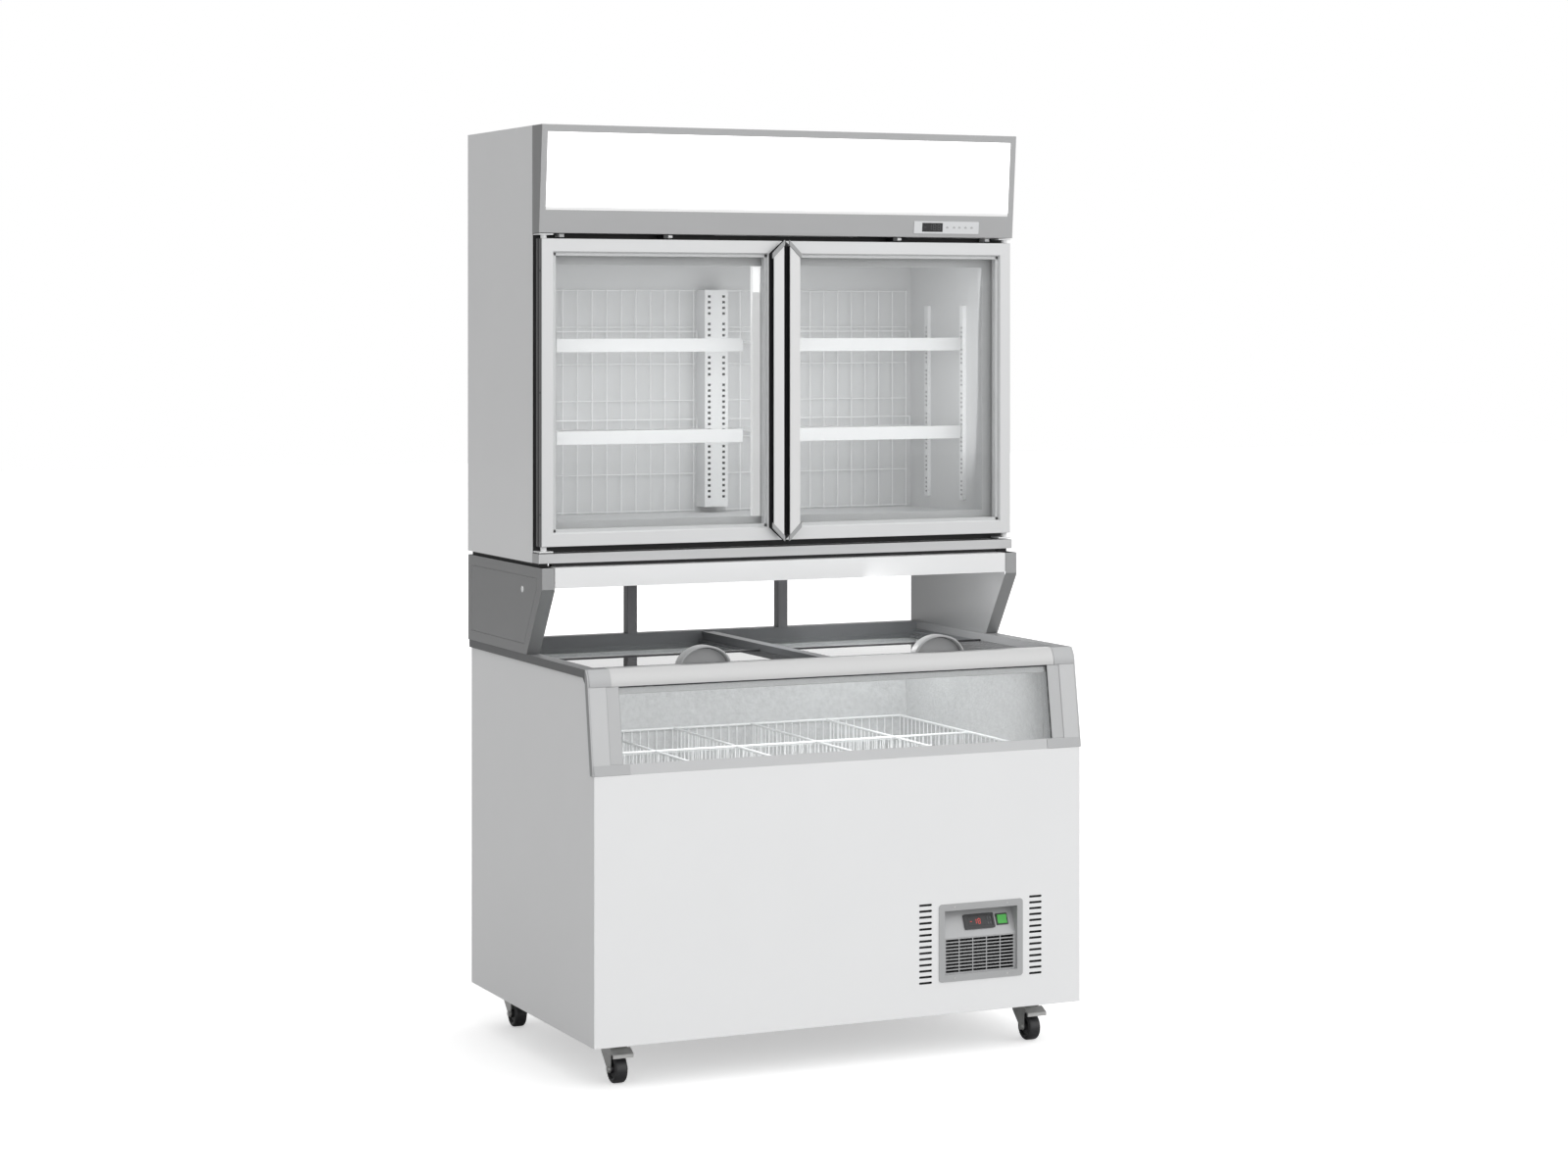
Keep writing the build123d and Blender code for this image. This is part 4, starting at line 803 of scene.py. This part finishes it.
for corner in CORNERS:
    low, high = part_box(f"caster_wheel_{corner}")
    centre = middle(low, high)
    radius = (high.z - low.z) / 2
    tread = 0.015
    shoulder = 0.006
    bm = bmesh.new()
    profile = [(-tread, 0.0235), (-tread, radius - shoulder)]
    for sign in (-1, 1):
        for i in range(7):
            angle = math.pi / 2 * (i if sign < 0 else 6 - i) / 6
            along = sign * (tread - shoulder + shoulder * math.cos(angle))
            profile.append((along, radius - shoulder + shoulder * math.sin(angle)))
    profile += [(tread, 0.0235), (tread - 0.003, 0.0225), (-tread + 0.003, 0.0225)]
    lathe_into(bm, profile, centre, 0)
    piece(f"wheel_tyre_{corner}", finished_mesh("tyre", bm), wheel_rubber, f"wheel_{corner}",
          [f"caster_wheel_{corner}"])
    bm = bmesh.new()
    hub_half = [(0.0170, 0.0042), (0.0170, 0.0095), (0.0120, 0.0105), (0.0105, 0.0205), (0.0125, 0.0215),
                (0.0125, 0.0226)]
    hub = [(-along, r) for along, r in hub_half] + hub_half[::-1]
    lathe_into(bm, hub, centre, 0)
    piece(f"wheel_hub_{corner}", finished_mesh("hub", bm), black_plastic, f"wheel_{corner}",
          [f"caster_wheel_{corner}"], smooth=False)


# ---- Thermostat face and header display ----


def local_frame(origin, right, up):
    """Place points given as (right, up, out) in a tilted face."""
    right, up = Vector(right).normalized(), Vector(up).normalized()
    out = right.cross(up)
    return lambda u, v, w: Vector(origin) + right * u + up * v + out * w


def plate_into(bm, place, u, v, w, bevel=0.0003):
    """Add a bar in a tilted face between limits along right, up and out."""
    made = bmesh.ops.create_cube(bm, size=1)
    for vert in made["verts"]:
        a = u[0] if vert.co.x < 0 else u[1]
        b = v[0] if vert.co.y < 0 else v[1]
        c = w[0] if vert.co.z < 0 else w[1]
        vert.co = place(a, b, c)
    edges = list({e for vert in made["verts"] for e in vert.link_edges})
    if bevel:
        bmesh.ops.bevel(bm, geom=edges, offset=bevel, segments=1, affect="EDGES")


SEGMENTS = {"1": "bc", "8": "abcdefg", "-": "g"}


def digits_into(bm, place, text, left, bottom, width, height, bar, out):
    """Add seven-segment digits, left to right, in a tilted face."""
    for index, digit in enumerate(text):
        x = left + index * width * 1.45
        mid = bottom + height / 2
        top = bottom + height
        spans = {
            "a": ((x + bar, x + width - bar), (top - bar, top)),
            "g": ((x + bar, x + width - bar), (mid - bar / 2, mid + bar / 2)),
            "d": ((x + bar, x + width - bar), (bottom, bottom + bar)),
            "f": ((x, x + bar), (mid + bar / 2, top - bar)),
            "b": ((x + width - bar, x + width), (mid + bar / 2, top - bar)),
            "e": ((x, x + bar), (bottom + bar, mid - bar / 2)),
            "c": ((x + width - bar, x + width), (bottom + bar, mid - bar / 2)),
        }
        for segment in SEGMENTS[digit]:
            plate_into(bm, place, *spans[segment], out, 0)


RUN = Vector((0, 0.028, 0.062)).normalized()
control = local_frame((0.3566, -0.400, 0.309), (1, 0, 0), RUN)
bm = bmesh.new()
plate_into(bm, control, (-0.0245, 0.0215), (-0.0105, 0.0105), (0.0005, 0.0028), 0.0005)
piece("controller_lens", finished_mesh("lens", bm), black_plastic, "cabinet", smooth=False)
bm = bmesh.new()
digits_into(bm, control, "-18", -0.021, -0.0065, 0.0075, 0.013, 0.0014, (0.0028, 0.0031))
piece("controller_digits", finished_mesh("digits", bm), digit_red, "cabinet", smooth=False)
bm = bmesh.new()
for u in (0.0275, 0.0345):
    for v in (-0.006, 0.006):
        plate_into(bm, control, (u - 0.0026, u + 0.0026), (v - 0.0035, v + 0.0035), (0.0022, 0.0036), 0.0006)
piece("controller_keys", finished_mesh("keys", bm), rim_plastic, "cabinet", smooth=False)

header_up = Vector((0, -0.0214, 0.253)).normalized()
header = local_frame((0.0, -0.078, 1.939), (1, 0, 0), header_up)
bm = bmesh.new()
plate_into(bm, header, (0.3745, 0.4315), (0.0135, 0.0355), (0.0008, 0.0012), 0.0002)
piece("display_lens", finished_mesh("display_lens", bm), black_plastic, "cabinet",
      smooth=False)
bm = bmesh.new()
digits_into(bm, header, "-188", 0.3790, 0.0170, 0.0088, 0.0150, 0.0014, (0.0012, 0.0014))
piece("display_digits", finished_mesh("display_digits", bm), rim_plastic, "cabinet",
      smooth=False)
bm = bmesh.new()
for u in (0.444, 0.463, 0.478, 0.495, 0.512):
    plate_into(bm, header, (u - 0.0035, u + 0.0035), (0.0225, 0.0255), (0.0016, 0.0019), 0.0001)
    plate_into(bm, header, (u - 0.0015, u + 0.0015), (0.0255, 0.0272), (0.0016, 0.0019), 0.0001)
piece("display_keys", finished_mesh("display_keys", bm), window_grey, "cabinet", smooth=False)


# ---- Glazing seal of the chest window, partly painted shade, its beads, and plugs in the brackets ----

LEAN = math.radians(8.85)
WINDOW = local_frame((0, -0.420, 0.7115), (1, 0, 0), (0, math.sin(LEAN), math.cos(LEAN)))
WINDOW_TOP = 0.1965 / math.cos(LEAN)
BEAD_INNER = 0.5530
SEAL_AND_SHADE_OUT = (-0.0059, -0.0044)
BEAD_OUT = (-0.0040, -0.0014)
# Black seal lines beside the beads and along the top: a real glazing seal, darkened further as painted shade
# at the joints of the frame.
bm = bmesh.new()
for _, side in SIDES:
    reach = sorted((side * 0.5515, side * 0.5848))
    plate_into(bm, WINDOW, reach, (0.0242, WINDOW_TOP - 0.0004), SEAL_AND_SHADE_OUT, 0.0003)
plate_into(bm, WINDOW, (-BEAD_INNER, BEAD_INNER), (WINDOW_TOP - 0.0030, WINDOW_TOP - 0.0004), SEAL_AND_SHADE_OUT,
           0.0003)
piece("window_seal_and_shade", finished_mesh("window_seal_and_shade", bm), black_rubber, "cabinet", smooth=False)
bm = bmesh.new()
for _, side in SIDES:
    reach = sorted((side * BEAD_INNER, side * 0.5836))
    plate_into(bm, WINDOW, reach, (0.0244, WINDOW_TOP - 0.0008), BEAD_OUT, 0.0005)
piece("window_beads", finished_mesh("window_beads", bm), bead_grey, "cabinet", smooth=False)

bm = bmesh.new()
for _, side in SIDES:
    dome = [(-side * 0.0005, 0.0), (side * 0.0016, 0.0004), (side * 0.0014, 0.0050), (side * 0.0006, 0.0076),
            (-side * 0.0005, 0.0078)]
    lathe_into(bm, dome, (side * 0.630, 0.030, 1.099), 0, 32)
bmesh.ops.remove_doubles(bm, verts=bm.verts, dist=0.00001)
piece("bracket_plugs", finished_mesh("plugs", bm), white_wire, "cabinet")


# ---- Painted shade: dark plates behind the vents ----

vent_columns = (0.2095, 0.5037)
shade_plate_half = 0.024
# Black plates standing in for the shade inside the machine compartment behind the vent slots: painted shade.
bm = bmesh.new()
for x in vent_columns:
    bar_into(bm, (x - shade_plate_half, -0.412, 0.166), (x + shade_plate_half, -0.4100, 0.374), 0.0005)
piece("vent_shade_plates", finished_mesh("vent_shade", bm), black_plastic, "cabinet", smooth=False)


# ---- Stage ----

floor_mesh = bpy.data.meshes.new("floor")
FLOOR_REACH = 30.0
corners = [(x * FLOOR_REACH, y * FLOOR_REACH, 0) for x, y in ((-1, -1), (1, -1), (1, 1), (-1, 1))]
floor_mesh.from_pydata(corners, [], [(0, 1, 2, 3)])
floor = bpy.data.objects.new("floor", floor_mesh)
bpy.context.scene.collection.objects.link(floor)
floor_paint, tree, shader = new_material("floor_paint")
shader.inputs["Base Color"].default_value = (0.85, 0.85, 0.85, 1)
shader.inputs["Roughness"].default_value = 0.9
shader.inputs["Specular IOR Level"].default_value = 0.0
shader.inputs["Emission Color"].default_value = (1, 1, 1, 1)
shader.inputs["Emission Strength"].default_value = 0.45
pale = add(tree, "BsdfDiffuse", Color=(0.55, 0.55, 0.55, 1))
seen = tree.nodes.new("ShaderNodeLightPath")
floor_mix = tree.nodes.new("ShaderNodeMixShader")
tree.links.new(seen.outputs["Is Camera Ray"], floor_mix.inputs["Fac"])
tree.links.new(pale.outputs["BSDF"], floor_mix.inputs[1])
tree.links.new(shader.outputs["BSDF"], floor_mix.inputs[2])
tree.links.new(floor_mix.outputs["Shader"], tree.nodes["Material Output"].inputs["Surface"])
floor_mesh.materials.append(floor_paint)

# The sky is bright on one side and has a soft glow at the back.
KEY_FROM = (0.6, -0.8, 0.1)
KEY_LEVEL = 0.88
KEY_SPREAD = 0.75
BACK_FROM = (0.42, 0.9, 0.12)
BACK_LEVEL = 0.8
BACK_FOCUS = 6.0


def lamp(name, place, size, power, aim, glossy=False):
    """A soft rectangular light at a place, aimed along a direction."""
    data = bpy.data.lights.new(name, "AREA")
    data.shape = "RECTANGLE"
    data.size, data.size_y = size
    data.energy = power
    obj = bpy.data.objects.new(name, data)
    obj.location = place
    obj.rotation_euler = Vector(aim).to_track_quat("-Z", "Y").to_euler()
    obj.visible_camera = False
    obj.visible_glossy = glossy
    bpy.context.scene.collection.objects.link(obj)


lamp("cabinet_lamp", (0, -0.006, 1.62), (1.13, 0.50), 2.3, (0, 1, 0.1))
lamp("chest_lamp", (0, -0.335, 0.87), (0.84, 0.04), 2.1, (0, 1, -0.25))
lamp("beam_lamp", (0, -0.06, 1.100), (1.10, 0.06), 3.0, (0, 0.15, -1))
lamp("bracket_lamp", (0.2, 0.02, 1.035), (0.30, 0.09), 1.8, (1, 0, 0), glossy=True)

world = bpy.data.worlds.new("studio")
bpy.context.scene.world = world
world.use_nodes = True
tree = world.node_tree
background = tree.nodes["Background"]
coords = add(tree, "TexCoord")


def toward(tree, direction):
    """Cosine between the sky direction and the given one."""
    node = tree.nodes.new("ShaderNodeVectorMath")
    node.operation = "DOT_PRODUCT"
    node.inputs[1].default_value = Vector(direction).normalized()
    tree.links.new(coords.outputs["Generated"], node.inputs[0])
    return node.outputs["Value"]


key = math_node(tree, "MULTIPLY_ADD", toward(tree, KEY_FROM), KEY_SPREAD, KEY_LEVEL)
glance = math_node(tree, "MAXIMUM", toward(tree, BACK_FROM), 0.0)
glow = math_node(tree, "MULTIPLY_ADD", math_node(tree, "POWER", glance, BACK_FOCUS), BACK_LEVEL, key)
tree.links.new(glow, background.inputs["Strength"])
backdrop = tree.nodes.new("ShaderNodeBackground")
backdrop.inputs["Strength"].default_value = 1.0
path = tree.nodes.new("ShaderNodeLightPath")
either = tree.nodes.new("ShaderNodeMixShader")
tree.links.new(path.outputs["Is Camera Ray"], either.inputs["Fac"])
tree.links.new(background.outputs["Background"], either.inputs[1])
tree.links.new(backdrop.outputs["Background"], either.inputs[2])
background.inputs["Color"].default_value = (1, 1, 1, 1)
backdrop.inputs["Color"].default_value = (1, 1, 1, 1)
tree.links.new(either.outputs["Shader"], tree.nodes["World Output"].inputs["Surface"])

CAMERA_AT = (-3.3195, -7.2635, 1.7392)
CAMERA_TURN = math.radians(-24.8055)
CAMERA_LENS = 75.26
CAMERA_SHIFT = -0.172
camera_data = bpy.data.cameras.new("camera")
camera_data.sensor_width = 36.0
camera_data.lens = CAMERA_LENS
camera_data.shift_y = CAMERA_SHIFT
camera_data.clip_end = 100
camera = bpy.data.objects.new("camera", camera_data)
camera.location = CAMERA_AT
camera.rotation_euler = (math.radians(90), 0, CAMERA_TURN)
bpy.context.scene.collection.objects.link(camera)
bpy.context.scene.camera = camera
bpy.context.scene.view_settings.view_transform = "Standard"
